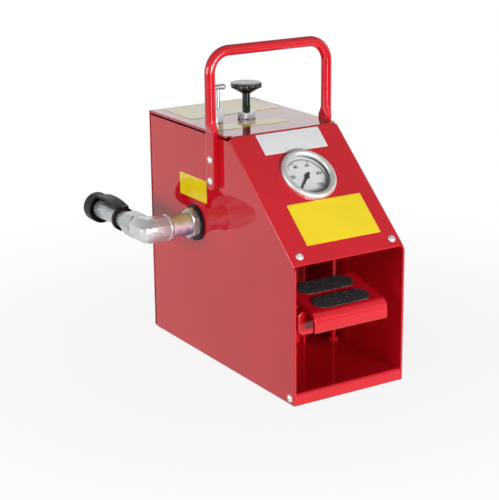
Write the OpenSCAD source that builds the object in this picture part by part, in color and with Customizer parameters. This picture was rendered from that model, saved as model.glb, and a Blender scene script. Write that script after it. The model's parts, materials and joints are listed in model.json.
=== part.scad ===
// Foot pedal air valve in a folded sheet housing.
// Lengths are millimetres. The origin is on the ground in the middle of the footprint,
// +X to the right of someone facing the pedal, +Y to the rear, +Z up.

/* [Housing] */
// Width over the side walls
housing_w = 150; // [135:1:170]
// Depth from the front edge to the rear panel
housing_d = 324; // [310:1:360]
// Height of the top plate
housing_h = 281; // [268:1:300]
// Height of the front opening
front_h = 163; // [150:1:175]
// Depth of the flat top plate
top_d = 191; // [180:1:200]
// Thickness of the housing sheet
sheet_t = 2.5; // [2:0.1:3]
// Outside radius of the folded edges
bend_r = 4; // [3.5:0.1:5]
// Height of the floor pan
pan_h = 14; // [13:1:20]
// Outside radius of the rolled edges of the floor pan
pan_bend_r = 4; // [3.5:0.5:6]

/* [Carrying handle] */
// Diameter of the handle tube
handle_tube_d = 12.5; // [10:0.5:15]
// Height of the top of the handle above the top plate
handle_rise = 99.5; // [85:0.5:120]
// Distance of the handle behind the front edge
handle_setback = 164.5; // [152:0.5:174]
// Bend radius of the handle at the middle of the tube
handle_bend_r = 25; // [18:1:32]
// Width of the flattened ends
tab_w = 17; // [15:1:22]
// Thickness of the flattened ends
tab_t = 7; // [5:0.5:8]
// Length of the flattened ends below the top plate
tab_drop = 67; // [60:1:75]

/* [Pedal] */
// Width of the pedal plate
pedal_w = 99; // [85:1:110]
// Thickness of the pedal plate
pedal_t = 4; // [3:0.5:5]
// Upward tilt of the pedal plate towards the rear
pedal_tilt = 13; // [9:1:16]
// Length of the flat of the pedal plate
pedal_len = 60; // [56:1:64]
// Outside radius of the rolled front edge
pedal_roll_r = 12; // [9:0.5:13]
// Height of the straight part of the front lip
pedal_lip_h = 11.5; // [11:0.5:16]
// Distance of the front lip ahead of the housing
pedal_overhang = 2.6; // [0:0.2:6]
// Length of a grit pad
pad_len = 75; // [68:1:84]
// Width of a grit pad
pad_w = 25; // [20:0.5:25]
// Distance between the two grit pads
pad_pitch = 32.5; // [30:0.5:34]
// Thickness of a grit pad
pad_t = 1.2; // [0.8:0.1:2]

/* [Lever arm] */
// Width of the lever arm
arm_w = 24; // [21:1:27]
// Height of the lever arm
arm_h = 28; // [26:1:32]
// Wall of the lever arm
arm_wall = 3; // [2:0.5:4]
// Chamfer along the arm's corners
arm_chamfer = 5; // [3:0.5:6]
// Distance of the arm's middle from the left wall's outside
arm_inset = 29; // [27:0.5:32]
// Distance of the arm's front end behind the front edge
arm_setback = 28; // [22:1:34]
// Height of the saddle under the pedal at its front
saddle_h = 4; // [2:0.5:7]
// Distance of the pivot behind the front edge
pivot_setback = 160; // [158:1:166]
// Height of the pivot
pivot_h = 88; // [82:1:94]
// Diameter of the pivot pin
pivot_d = 12; // [10:0.5:13]
// Radius of the roller at the arm's rear end
roller_r = 12; // [10:0.5:14]

/* [Valve block] */
// Distance of the spool and the outlet behind the front edge
valve_setback = 213; // [208:1:220]
// Height of the outlet
outlet_h = 163; // [156:1:170]
// Depth of the valve block front to rear
block_d = 48; // [44:1:52]
// Height of the valve block
block_h = 50; // [46:1:56]
// Diameter of the spool bore
spool_d = 16; // [14:0.5:18]

/* [Outlet] */
// Outside diameter of the outlet pipe
pipe_d = 26.7; // [24:0.1:28]
// Bore of the outlet pipe
pipe_bore = 19; // [15:0.5:21]
// Distance of the coupling's middle from the left wall
coupler_reach = 65; // [58:1:75]
// Across flats of the elbow
elbow_d = 29; // [28:0.5:33]
// Length of the elbow's rear leg from the pipe's middle
elbow_leg = 20; // [19:1:26]
// Length of the coupling nipple
nipple_len = 112; // [106:1:120]
// Outside diameter of the dust cap
cap_d = 36; // [34:0.5:40]
// Length of the dust cap
cap_len = 20; // [19:1:26]
// Outside diameter of the wall grommet
grommet_d = 43.5; // [40:0.5:47]

/* [Gauge] */
// Outside diameter of the gauge bezel
bezel_d = 68; // [64:0.5:72]
// Height of the bezel above the slope
bezel_h = 5.5; // [5:0.5:7]
// Width of the bezel's rounded face
bezel_w = 7.7; // [6:0.1:9]
// Distance of the gauge up the slope
gauge_s = 112; // [106:1:116]
// Depth of the gauge case behind the slope
gauge_depth = 30; // [26:1:34]

/* [Top controls] */
// Diameter of the knob over its lobes
knob_d = 38; // [34:1:44]
// Height of the knob's gripping rim
knob_rim_h = 8; // [6:0.5:11]
// Number of lobes on the knob
knob_lobes = 8; // [6:1:10]
// Diameter of the knob's stem
knob_stem_d = 9.6; // [9:0.1:11]
// Height of the knob's underside above the top plate
knob_lift = 30; // [26:1:36]
// Across flats of the knob's lock nut
locknut_af = 21; // [19:0.5:24]
// Length of the bar on the small valve
bar_len = 22; // [16:1:28]
// Height of the bar above the top plate
bar_lift = 42; // [36:1:48]

/* [Hidden] */
$fn = 64;
eps = 0.01;

// Fits and clearances
run_gap = 0.05;     // running fit, radial
free_gap = 0.3;     // between pieces that move past each other
hole_gap = 0.3;     // clearance round a screw or fitting
slip_gap = 0.1;     // pieces that slip together

// Fold of the housing
slope_rise = housing_h - front_h;
slope_run = housing_d - top_d;
slope_a = atan2(slope_rise, slope_run);
slope_len = norm([slope_run, slope_rise]);
top_bend_r = 5;
top_bend_t = top_bend_r * tan(slope_a / 2);
inner_w = housing_w - 2 * sheet_t;
seam_gap = 2.5;
strip_w = housing_w - 2 * bend_r;
wall_d = housing_d - sheet_t;
pan_d = wall_d - bend_r;
fold_lap = 6;
flange_w = 18;
relief_r = 3.5;

// Button-head screws
screw_d = 5;
screw_head_d = 9.5;
screw_head_h = 2.75;
socket_af = 3;
socket_depth = 1.6;
screw_proud = 1;
nut_af = 8;
nut_h = 4;
brace_w = 16;
brace_t = 3;
brace_s = 4;
front_screw_x = housing_w / 2 - 12.5;
front_screw_s = 11;
base_screw_y = 9;
base_screw_z = pan_h / 2;
rear_screw_x = housing_w / 2 - 10;
rear_screw_z = [40, housing_h / 2, housing_h - 26];
tab_screw_drop = [31, 56];

// Handle
handle_sink = 1;
handle_x = housing_w / 2 + handle_tube_d / 2 - handle_sink;
handle_bar_z = housing_h + handle_rise - handle_tube_d / 2;
tab_top = housing_h + 3;
leg_foot = housing_h + 12;

// Pedal and arm
arm_x = -(housing_w / 2 - arm_inset);
arm_top = pivot_h + arm_h / 2;
arm_flat_w = arm_w - 2 * arm_chamfer;
roll_y = -pedal_overhang + pedal_roll_r;
saddle_y0 = arm_setback + 2;
saddle_len = 34;
roll_z = arm_top + saddle_h - (pedal_roll_r - pedal_t) / cos(pedal_tilt)
    - (saddle_y0 - roll_y) * tan(pedal_tilt);
pad_first = 12.6;
bush_wall = 2;
bush_flange = 2;
bush_flange_r = pivot_d / 2 + bush_wall + 3;
ear_t = 4;
ear_gap = arm_w + 2 * bush_flange + 2 * free_gap;
ear_r = 14;
stand_base_t = 4;
stand_screw_edge = 8;
hub_wall = 2.2;
pin_head_h = 3;
pin_head_d = pivot_d + 4;
groove_d = pivot_d - 2;
clip_d = pivot_d + 6;
clip_mouth = pivot_d - 4;
clip_t = 1.2;
clip_w = 3;
roller_w = 13;
roller_h = pivot_h + 6;
roller_pin_d = 6;
fork_gap = 2;
arm_end = valve_setback + 8;

// Bracket behind the pedal
bracket_y = 137;
bracket_t = 2.5;
bracket_right = 27;
bracket_lip = 8;
foot_len = 16;
foot_w = 36;
foot_screw_edge = 8;
foot_screw_pitch = 20;
foot_screw_y = 10;
stand_d = 2 * (pivot_setback - bracket_y - bracket_t - free_gap);
window_side = 3;
window_drop = 10;
window_rise = 10;
stop_w = 12;
stop_lap = 4;
stop_side = 3.5;

// Valve block
block_z0 = outlet_h - 23;
block_z1 = block_z0 + block_h;
block_y0 = valve_setback - 23;
block_x0 = -(inner_w / 2 - 6.5);
block_x1 = 26;
spool_x = arm_x;
spool_top = block_z1 - 10;
port_depth = 8;
passage_r = 6;
passage_end = 10;
sense_r = 3;
well_depth = 8;
block_screw_x = 26;
block_screw_edge = 10;
block_screw_depth = 8;
gland_h = 6;
plunger_d = 10;
foot_disc_d = 18;
foot_disc_h = 3.5;
foot_z = roller_h + roller_r + free_gap;
land_h = 7;
land_z0 = block_z0 + gland_h + 1;
neck_cut = 3;
seal_t = 1.8;
spring_wire = 2.2;
spring_mean_r = 8.5;
spring_turns = 4;
bracket_hole_r = plunger_d / 2 + 1;

// Inlet and exhaust
inlet_x = 12;
inlet_pipe_d = 21;
inlet_bore_r = 7.5;
inlet_step = 2;
inlet_port_len = 16;
inlet_neck_r = 12;
inlet_hex_af = 30;
inlet_hex_h = 10;
inlet_nut_h = 8;
inlet_neck_len = 24;
silencer_r = 9;
silencer_len = 28;
silencer_thread_r = 6;
silencer_y = valve_setback - 8;
vent_w = 1;
vent_first = 6;
vent_pitch = 4;

// Regulator
knob_y = valve_setback + 3;
bonnet_flange_r = 20;
bonnet_flange_h = 6;
bonnet_r = 17;
bonnet_neck_r = 7;
bonnet_collar_r = 12;
bonnet_wall = 4;
bonnet_collar_h = 18;
locknut_h = 8;
screw_r = 4;
seat_r = 12;
seat_h = 3;
seat_drop = 24;
reg_wire = 3;
reg_side = 1;
reg_turns = 4;
diaphragm_h = 2;
knob_hub_h = 8;
knob_dome_h = 3;
knob_edge = 1.5;
knob_lip = 0.6;
knob_flare = 0.82;
knob_crown = 0.6;
lobe_share = 0.15;
lobe_fill = 0.8;
lobe_r = knob_d * lobe_share;

// Needle valve
needle_x = arm_x + 4;
needle_y = valve_setback - 1;
needle_nut_af = 12;
needle_nut_h = 16;
needle_neck_r = 4;
needle_neck_h = 9;
needle_body_af = 17;
needle_body_h = 38;
needle_stem_r = 2.5;
bar_r = 3.4;
needle_tube_r = 4;
needle_port = 5;
needle_seat = 6;
needle_tube_wall = 1.2;

// Gauge
case_wall = 1.5;
case_r = bezel_d / 2 - 3;
lens_t = 2;
lip_t = 4.3;
lens_z = bezel_h - lip_t - lens_t;
dial_z = lens_z - 4.3;
dial_t = 0.8;
pointer_z = lens_z - 2.6;
pointer_t = 0.8;
pointer_len = 21;
pointer_tail = 7;
pointer_rest = 135;
spindle_r = 0.9;
spindle_sink = 2;
hub_r = 3;
socket_r = 7;
socket_len = 15;
plate_z = -16;
plate_t = 2;
plate_r = 13;
post_r = 1.5;
post_x = 10;
bourdon_r = 20;
bourdon_t = 2;
bourdon_h = 8;
bourdon_sweep = 250;
line_r = 3;
line_bend_r = 12;
line_port = 4;
line_h = block_z0 + 32;

// Stay rod
stay_x = housing_w / 2 - 13;
stay_y = 120;
stay_r = 2.9;
stay_top = 208;
stay_bracket_z = 198;
stay_bracket_w = 20;
stay_bracket_drop = 22;
stay_nut_af = 11;
stay_nut_h = 5;

// Outlet
grommet_lip = 2.5;
grommet_neck_r = pipe_d / 2 + 4;
outlet_nut_af = 33;
outlet_nut_h = 9;
coupler_x = -(housing_w / 2 + coupler_reach);
elbow_collar_d = elbow_d + 3;
elbow_bevel = 8.5;
elbow_collar_len = 9;
pipe_reach = 37;
elbow_mouth = -(housing_w / 2 + pipe_reach);
pipe_in = 8;
nipple_y0 = valve_setback + elbow_leg;
nipple_hex_len = 22;
nipple_hex_af = 27;
nipple_gap = 2.5;
nipple_r = 11;
nipple_end_r = 12;
nipple_end_len = 12;
nipple_nose_r = 10;
nipple_nose_len = 14;
nipple_bore_r = 7;
nipple_seat_r = 4.5;
nipple_thread_r = 10.5;
nipple_thread_len = 10;
poppet_r = 6;
poppet_len = 14;
poppet_setback = 8;
poppet_nose = 4;
check_wire = 1.2;
check_turns = 6;
check_len = 24;
check_seat_h = 3;
check_hole_r = 4;
cap_setback = nipple_len - nipple_nose_len;
cap_mouth_len = 10;
cap_wall = 2.2;
ring_setback = 40;
ring_w = 5;
ring_r = 14.5;
strap_w = 16;
strap_t = 3;
strap_rise = 3;
strap_stop = 1;

paint_red = [0.78, 0.06, 0.09];
plated = [0.78, 0.78, 0.8];
rubber_black = [0.07, 0.07, 0.08];
brass = [0.75, 0.6, 0.3];
alloy = [0.7, 0.71, 0.73];

// Frames: y counted from the front edge, the slope, the pedal's flat
module from_front() {
    translate([0, -housing_d / 2, 0])
        children();
}

module on_slope(s = 0) {
    from_front()
        translate([0, 0, front_h])
            rotate([slope_a, 0, 0])
                translate([0, s, 0])
                    children();
}

module on_pedal(s = 0) {
    from_front()
        translate([0, roll_y, roll_z])
            rotate([pedal_tilt, 0, 0])
                translate([0, s, pedal_roll_r])
                    children();
}

// Outlines drawn in depth and height, run across the width
module across(x0, width) {
    translate([x0, 0, 0])
        rotate([90, 0, 90])
            linear_extrude(width)
                children();
}

module both_sides() {
    for (side = [0, 1])
        mirror([side, 0, 0])
            children();
}

// Round bar between two points
module rod(p, q, r) {
    v = q - p;
    length = norm(v);
    translate(p)
        rotate([0, acos(v[2] / length), atan2(v[1], v[0])])
            cylinder(h = length, r = r);
}

// Part of a ring between two angles
module ring_sector(r_out, r_in, a0, a1) {
    reach = 2 * r_out;
    mid = (a0 + a1) / 2;
    intersection() {
        difference() {
            circle(r_out);
            circle(r_in);
        }
        polygon([[0, 0], reach * [cos(a0), sin(a0)], reach * [cos(mid), sin(mid)],
            reach * [cos(a1), sin(a1)]]);
    }
}

module obround(length, width) {
    straight = length - width;
    square([straight, width], center = true);
    for (side = [-1, 1])
        translate([side * straight / 2, 0])
            circle(width / 2);
}

// Button-head screw with its head on the plane z = 0
module button_screw(length) {
    r = screw_head_d / 2;
    dome = (r * r + screw_head_h * screw_head_h) / (2 * screw_head_h);
    difference() {
        rotate_extrude()
            intersection() {
                translate([0, screw_head_h - dome])
                    circle(dome);
                square([r, screw_head_h]);
            }
        translate([0, 0, screw_head_h - socket_depth])
            cylinder(h = socket_depth + 1, d = socket_af / cos(30), $fn = 6);
    }
    translate([0, 0, -length])
        cylinder(h = length + eps, d = screw_d);
}

// Hexagon with turned chamfers at both ends
module hex_prism(af, h) {
    corner = af / 2 / cos(30);
    drop = (corner - af / 2) * tan(30) + eps;
    intersection() {
        cylinder(h = h, r = corner, $fn = 6);
        rotate_extrude()
            polygon([[0, 0], [af / 2, 0], [corner, drop], [corner, h - drop], [af / 2, h], [0, h]]);
    }
}

module hex_nut(af, h, bore_r) {
    difference() {
        hex_prism(af, h);
        translate([0, 0, -1])
            cylinder(h = h + 2, r = bore_r);
    }
}

// Faces of a tube whose rings of points follow each other, closed at both ends
function tube_faces(rings, sides) = concat(
    [
        for (i = [0 : rings - 2])
            for (k = [0 : sides - 1])
                let (m = (k + 1) % sides)
                    [i * sides + k, i * sides + m, (i + 1) * sides + m, (i + 1) * sides + k]
    ],
    [
        [for (k = [sides - 1 : -1 : 0]) k],
        [for (k = [0 : sides - 1]) (rings - 1) * sides + k]
    ]
);

// Round wire wound into a compression spring standing on z = 0
module coil(mean_r, wire_d, height, turns) {
    sides = 8;
    per_turn = 16;
    n = turns * per_turn;
    wire_r = wire_d / 2;
    points = [
        for (i = [0 : n])
            let (a = 360 * i / per_turn, z = wire_r + (height - wire_d) * i / n)
                for (k = [0 : sides - 1])
                    let (b = 360 * k / sides, r = mean_r + wire_r * cos(b))
                        [r * cos(a), r * sin(a), z + wire_r * sin(b)]
    ];
    polyhedron(points, tube_faces(n + 1, sides));
}

// Section of the slope: a channel whose outside face is y = 0
module channel_section(w, leg, r, t) {
    difference() {
        channel_blank(w, leg, r);
        translate([0, -t])
            channel_blank(w - 2 * t, leg, r - t);
    }
}

module channel_blank(w, leg, r) {
    translate([-w / 2 + r, -leg])
        square([w - 2 * r, leg]);
    translate([-w / 2, -leg])
        square([w, leg - r]);
    for (side = [-1, 1])
        translate([side * (w / 2 - r), -r])
            circle(r);
}

// Outline of a side wall under the rounded edges
module wall_outline() {
    polygon([
        [0, 0],
        [0, front_h - bend_r / cos(slope_a)],
        [slope_run + bend_r / sin(slope_a), housing_h],
        [wall_d - bend_r, housing_h],
        [wall_d - bend_r, 0]
    ]);
}

// Slope's upper end, bend and top plate seen from the side
module top_strip_outline() {
    lap = 20;
    translate([0, front_h])
        rotate(slope_a)
            translate([slope_len - top_bend_t - lap, -sheet_t])
                square([lap, sheet_t]);
    translate([slope_run + top_bend_t, housing_h - top_bend_r])
        ring_sector(top_bend_r, top_bend_r - sheet_t, 90, 90 + slope_a);
    translate([slope_run + top_bend_t, housing_h - sheet_t])
        square([wall_d - slope_run - top_bend_t, sheet_t]);
}

// Left rear corner fold seen from above
module rear_fold_outline() {
    translate([-housing_w / 2 + bend_r, wall_d - bend_r])
        ring_sector(bend_r, bend_r - sheet_t, 90, 180);
    translate([-housing_w / 2 + bend_r, wall_d - sheet_t])
        square([flange_w - bend_r, sheet_t]);
    translate([-housing_w / 2, wall_d - bend_r - fold_lap])
        square([sheet_t, fold_lap]);
}

module slope_channel() {
    translate([0, 0, front_h])
        rotate([slope_a, 0, 0])
            translate([0, slope_len - top_bend_t, 0])
                rotate([90, 0, 0])
                    linear_extrude(slope_len - top_bend_t)
                        channel_section(housing_w, bend_r + fold_lap, bend_r, sheet_t);
}

module housing_blank() {
    slope_channel();
    across(-strip_w / 2, strip_w)
        top_strip_outline();
    translate([-inner_w / 2 - 1, slope_run + relief_r, housing_h - sheet_t])
        cube([inner_w + 2, wall_d - bend_r - slope_run - relief_r, sheet_t]);
    both_sides() {
        across(-housing_w / 2, sheet_t)
            wall_outline();
        linear_extrude(housing_h)
            rear_fold_outline();
    }
}

module housing_shell() {
    color(paint_red)
        difference() {
            from_front()
                housing_blank();
            housing_holes();
        }
}

module housing_holes() {
    deep = 4 * sheet_t;
    on_slope(gauge_s)
        translate([0, 0, -deep])
            cylinder(h = 2 * deep, r = case_r + hole_gap);
    both_sides() {
        on_slope(front_screw_s)
            translate([front_screw_x, 0, -deep])
                cylinder(h = 2 * deep, d = screw_d + 2 * hole_gap);
        from_front()
            translate([-inner_w / 2, slope_run + relief_r, housing_h - sheet_t - seam_gap]) {
                cylinder(h = deep, r = relief_r);
                translate([-deep, 0, 0])
                    cube([deep + bend_r, housing_d, seam_gap]);
            }
    }
    from_front() {
        translate([0, knob_y, housing_h - deep])
            cylinder(h = 2 * deep, r = bonnet_neck_r + hole_gap);
        translate([needle_x, needle_y, housing_h - deep])
            cylinder(h = 2 * deep, r = needle_neck_r + hole_gap);
        translate([-housing_w / 2 - deep, valve_setback, outlet_h])
            rotate([0, 90, 0])
                cylinder(h = 2 * deep, r = grommet_neck_r + slip_gap);
        for (drop = tab_screw_drop)
            side_hole(handle_setback, housing_h - drop);
        side_hole(base_screw_y, base_screw_z);
    }
    rear_hole_set();
}

// Screw holes through both side walls
module side_hole(y, z) {
    for (side = [-1, 1])
        translate([side * housing_w / 2, y, z])
            rotate([0, 90, 0])
                cylinder(h = 8 * sheet_t, d = screw_d + 2 * hole_gap, center = true);
}

module rear_hole_set() {
    from_front()
        for (side = [-1, 1], z = rear_screw_z)
            translate([side * rear_screw_x, housing_d, z])
                rotate([90, 0, 0])
                    cylinder(h = 8 * sheet_t, d = screw_d + 2 * hole_gap, center = true);
}

// Floor pan seen from the side
module pan_outline() {
    r_in = pan_bend_r - sheet_t;
    square([sheet_t, pan_h - pan_bend_r]);
    translate([pan_bend_r, pan_h - pan_bend_r])
        ring_sector(pan_bend_r, r_in, 90, 180);
    translate([pan_bend_r, pan_h - sheet_t])
        square([pan_d - 2 * pan_bend_r, sheet_t]);
    translate([pan_d - pan_bend_r, pan_h - pan_bend_r])
        ring_sector(pan_bend_r, r_in, 0, 90);
    translate([pan_d - sheet_t, 0])
        square([sheet_t, pan_h - pan_bend_r]);
}

module floor_pan() {
    color(paint_red) from_front()
        difference() {
            union() {
                across(-inner_w / 2, inner_w)
                    pan_outline();
                both_sides()
                    translate([-inner_w / 2, sheet_t / 2, 0])
                        cube([sheet_t, pan_d - sheet_t, pan_h - pan_bend_r]);
                both_sides()
                    translate([-inner_w / 2, pan_bend_r, 0])
                        cube([sheet_t, pan_d - 2 * pan_bend_r, pan_h]);
            }
            side_hole(base_screw_y, base_screw_z);
            for (p = floor_screw_spots())
                translate([p[0], p[1], pan_h])
                    cylinder(h = 4 * sheet_t, d = screw_d + 2 * slip_gap, center = true);
            translate([stay_x, stay_y, pan_h])
                cylinder(h = 4 * sheet_t, r = stay_r + slip_gap, center = true);
        }
}

module rear_panel() {
    edge = 0.5;
    color(paint_red)
        difference() {
            from_front()
                translate([-housing_w / 2 + edge, wall_d, edge])
                    cube([housing_w - 2 * edge, sheet_t, housing_h - 2 * edge]);
            rear_hole_set();
            from_front()
                translate([inlet_x, housing_d, outlet_h])
                    rotate([90, 0, 0])
                        cylinder(h = 8 * sheet_t, r = inlet_neck_r + hole_gap, center = true);
        }
}

module front_brace() {
    color(paint_red)
        difference() {
            on_slope(brace_s)
                translate([-strip_w / 2 + bend_r, 0, -sheet_t - brace_t])
                    cube([strip_w - 2 * bend_r, brace_w, brace_t]);
            both_sides()
                on_slope(front_screw_s)
                    translate([front_screw_x, 0, -3 * brace_t])
                        cylinder(h = 3 * brace_t, d = screw_d + 2 * slip_gap);
        }
}

// Bracket: upright plate, shelf for the valve block, lip at the right edge and a foot on the floor
module valve_bracket() {
    left = -inner_w / 2;
    width = bracket_right - left;
    shelf_end = block_y0 + block_d;
    window_w = arm_w + 2 * window_side;
    window_z0 = pivot_h - arm_h / 2 - window_drop;
    window_z1 = arm_top + window_rise;
    color(paint_red) from_front()
        difference() {
            union() {
                translate([left, bracket_y, pan_h])
                    cube([width, bracket_t, block_z0 - pan_h]);
                translate([left, bracket_y, block_z0 - bracket_t])
                    cube([width, shelf_end - bracket_y, bracket_t]);
                translate([bracket_right - bracket_t, bracket_y - bracket_lip, pan_h])
                    cube([bracket_t, bracket_lip + bracket_t, block_z0 - pan_h]);
                translate([bracket_right - foot_w, bracket_y, pan_h])
                    cube([foot_w, foot_len, bracket_t]);
            }
            translate([arm_x - window_w / 2, bracket_y - 1, window_z0])
                cube([window_w, bracket_t + 2, window_z1 - window_z0]);
            translate([spool_x, valve_setback, block_z0])
                cylinder(h = 4 * bracket_t, r = bracket_hole_r, center = true);
            for (p = block_screw_spots())
                translate([p[0], p[1], block_z0])
                    cylinder(h = 4 * bracket_t, d = screw_d + 2 * hole_gap, center = true);
            for (p = foot_screw_spots())
                translate([p[0], p[1], pan_h])
                    cylinder(h = 4 * bracket_t, d = screw_d + 2 * hole_gap, center = true);
        }
}

function foot_screw_spots() = [
    for (k = [0, 1])
        [bracket_right - foot_w + foot_screw_edge + foot_screw_pitch * k, bracket_y + foot_screw_y]
];

function stand_screw_spots() = [
    for (side = [-1, 1])
        [arm_x, pivot_setback + side * (stand_d / 2 - stand_screw_edge)]
];

function floor_screw_spots() = concat(stand_screw_spots(), foot_screw_spots());

function block_screw_spots() = [
    [arm_x + block_screw_x, block_y0 + block_screw_edge],
    [inlet_x, block_y0 + block_d - block_screw_edge]
];

// One leg of the handle: flattened end, swaged neck and straight tube up to the bend
module handle_leg() {
    tab_x = -housing_w / 2 - tab_t;
    tab_end = housing_h - tab_drop + tab_w / 2;
    difference() {
        union() {
            translate([tab_x, handle_setback - tab_w / 2, tab_end])
                cube([tab_t, tab_w, tab_top - tab_end]);
            translate([tab_x, handle_setback, tab_end])
                rotate([0, 90, 0])
                    cylinder(h = tab_t, d = tab_w);
            hull() {
                translate([tab_x, handle_setback - tab_w / 2, tab_top - 1])
                    cube([tab_t, tab_w, 1]);
                translate([-handle_x, handle_setback, leg_foot])
                    cylinder(h = 1, d = handle_tube_d, $fn = 32);
            }
            translate([-handle_x, handle_setback, leg_foot])
                cylinder(h = handle_bar_z - handle_bend_r - leg_foot, d = handle_tube_d);
        }
        for (drop = tab_screw_drop)
            translate([-housing_w / 2, handle_setback, housing_h - drop])
                rotate([0, 90, 0])
                    cylinder(h = 4 * tab_t, d = screw_d + 2 * hole_gap, center = true);
    }
    translate([-handle_x + handle_bend_r, handle_setback, handle_bar_z - handle_bend_r])
        rotate([90, 0, 0])
            rotate([0, 0, 90])
                rotate_extrude(angle = 90)
                    translate([handle_bend_r, 0])
                        circle(d = handle_tube_d);
}

module carry_handle() {
    half = handle_x - handle_bend_r;
    color(paint_red) from_front() {
        both_sides()
            handle_leg();
        rod([-half, handle_setback, handle_bar_z], [half, handle_setback, handle_bar_z],
            handle_tube_d / 2);
    }
}

module handle_screws() {
    length = tab_t + sheet_t + nut_h + screw_proud;
    color(plated) from_front()
        both_sides()
            for (drop = tab_screw_drop)
                translate([-housing_w / 2 - tab_t, handle_setback, housing_h - drop])
                    rotate([0, -90, 0])
                        button_screw(length);
}

module handle_nuts() {
    color(plated) from_front()
        both_sides()
            for (drop = tab_screw_drop)
                translate([-inner_w / 2, handle_setback, housing_h - drop])
                    rotate([0, 90, 0])
                        hex_nut(nut_af, nut_h, screw_d / 2 + slip_gap);
}

// Screws of the slope, the foot of the walls and the rear panel
module housing_screws() {
    color(plated) {
        both_sides()
            on_slope(front_screw_s)
                translate([front_screw_x, 0, 0])
                    button_screw(sheet_t + brace_t + screw_proud);
        from_front()
            both_sides()
                translate([-housing_w / 2, base_screw_y, base_screw_z])
                    rotate([0, -90, 0])
                        button_screw(2 * sheet_t + screw_proud);
        from_front()
            for (side = [-1, 1], z = rear_screw_z)
                translate([side * rear_screw_x, housing_d, z])
                    rotate([-90, 0, 0])
                        button_screw(2 * sheet_t + screw_proud);
    }
}

// Screws of the pivot stand, the bracket's foot and the valve block
module inner_screws() {
    color(plated) from_front() {
        for (p = stand_screw_spots())
            translate([p[0], p[1], pan_h + stand_base_t])
                button_screw(stand_base_t + sheet_t);
        for (p = foot_screw_spots())
            translate([p[0], p[1], pan_h + bracket_t])
                button_screw(bracket_t + sheet_t);
        for (p = block_screw_spots())
            translate([p[0], p[1], block_z0 - bracket_t])
                rotate([180, 0, 0])
                    button_screw(bracket_t + block_screw_depth - 2 * screw_proud);
    }
}

// Stand with two ears that carry the pivot pin
module pivot_stand() {
    outer = ear_gap + 2 * ear_t;
    color(paint_red) from_front()
        difference() {
            union() {
                translate([arm_x - outer / 2, pivot_setback - stand_d / 2, pan_h])
                    cube([outer, stand_d, stand_base_t]);
                for (side = [-1, 1])
                    across(arm_x + side * (ear_gap + ear_t) / 2 - ear_t / 2, ear_t)
                        ear_outline();
            }
            translate([arm_x, pivot_setback, pivot_h])
                rotate([0, 90, 0])
                    cylinder(h = 2 * outer, d = pivot_d + 2 * slip_gap, center = true);
            for (p = stand_screw_spots())
                translate([p[0], p[1], pan_h])
                    cylinder(h = 4 * stand_base_t, d = screw_d + 2 * hole_gap, center = true);
        }
}

module ear_outline() {
    foot = stand_d / 2;
    polygon([
        [pivot_setback - foot, pan_h],
        [pivot_setback - ear_r, pivot_h],
        [pivot_setback + ear_r, pivot_h],
        [pivot_setback + foot, pan_h]
    ]);
    translate([pivot_setback, pivot_h])
        circle(ear_r);
}

module pivot_pin() {
    outer = ear_gap + 2 * ear_t;
    length = outer + clip_w + clip_t;
    groove_x = outer / 2;
    color(alloy) from_front()
        translate([arm_x, pivot_setback, pivot_h])
            rotate([0, 90, 0])
                difference() {
                    union() {
                        translate([0, 0, -outer / 2])
                            cylinder(h = length, d = pivot_d);
                        translate([0, 0, -outer / 2 - pin_head_h])
                            cylinder(h = pin_head_h, d = pin_head_d);
                    }
                    translate([0, 0, groove_x])
                        difference() {
                            cylinder(h = clip_t, d = clip_d);
                            cylinder(h = clip_t, d = groove_d);
                        }
                }
}

module pivot_clip() {
    color(alloy) from_front()
        translate([arm_x + ear_gap / 2 + ear_t, pivot_setback, pivot_h])
            rotate([0, 90, 0])
                difference() {
                    cylinder(h = clip_t, d = clip_d);
                    cylinder(h = 3 * clip_t, d = groove_d + 2 * slip_gap, center = true);
                    translate([0, -clip_mouth / 2, -1])
                        cube([pivot_d, clip_mouth, clip_t + 2]);
                }
}

// Rubber stop clipped on the upper edge of the bracket's window
module pedal_stop() {
    window_z1 = arm_top + window_rise;
    color(rubber_black) from_front()
        difference() {
            translate([arm_x - stop_w / 2, bracket_y - stop_side, arm_top + free_gap])
                cube([stop_w, bracket_t + 2 * stop_side, window_rise - free_gap + stop_lap]);
            translate([arm_x - stop_w, bracket_y, window_z1])
                cube([2 * stop_w, bracket_t, stop_lap + 1]);
        }
}

module stay_rod() {
    color(paint_red) from_front()
        translate([stay_x, stay_y, pan_h - sheet_t])
            cylinder(h = stay_top - pan_h + sheet_t, r = stay_r);
}

module stay_nuts() {
    color(paint_red) from_front()
        for (z = [pan_h, stay_bracket_z - stay_nut_h, stay_bracket_z + bracket_t])
            translate([stay_x, stay_y, z])
                hex_nut(stay_nut_af, stay_nut_h, stay_r + slip_gap);
}

module stay_bracket() {
    reach = 24;
    color(paint_red) from_front()
        difference() {
            union() {
                translate([inner_w / 2 - reach, stay_y - stay_bracket_w / 2, stay_bracket_z])
                    cube([reach, stay_bracket_w, bracket_t]);
                translate([inner_w / 2 - bracket_t, stay_y - stay_bracket_w / 2,
                        stay_bracket_z - stay_bracket_drop])
                    cube([bracket_t, stay_bracket_w, stay_bracket_drop + bracket_t]);
            }
            translate([stay_x, stay_y, stay_bracket_z])
                cylinder(h = 4 * bracket_t, r = stay_r + slip_gap, center = true);
        }
}

// Pedal plate seen from the side: lip, roll and flat
module pedal_outline() {
    deep = 2 * pedal_roll_r;
    inner_r = pedal_roll_r - pedal_t;
    translate([roll_y, roll_z])
        difference() {
            union() {
                circle(pedal_roll_r);
                translate([-pedal_roll_r, -pedal_lip_h])
                    square([pedal_roll_r, pedal_lip_h]);
                rotate(pedal_tilt)
                    square([pedal_len, pedal_roll_r]);
            }
            circle(inner_r);
            translate([-inner_r, -deep])
                square([2 * deep, deep]);
            rotate(pedal_tilt)
                translate([0, -deep])
                    square([2 * pedal_len, deep + inner_r]);
        }
}

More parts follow.
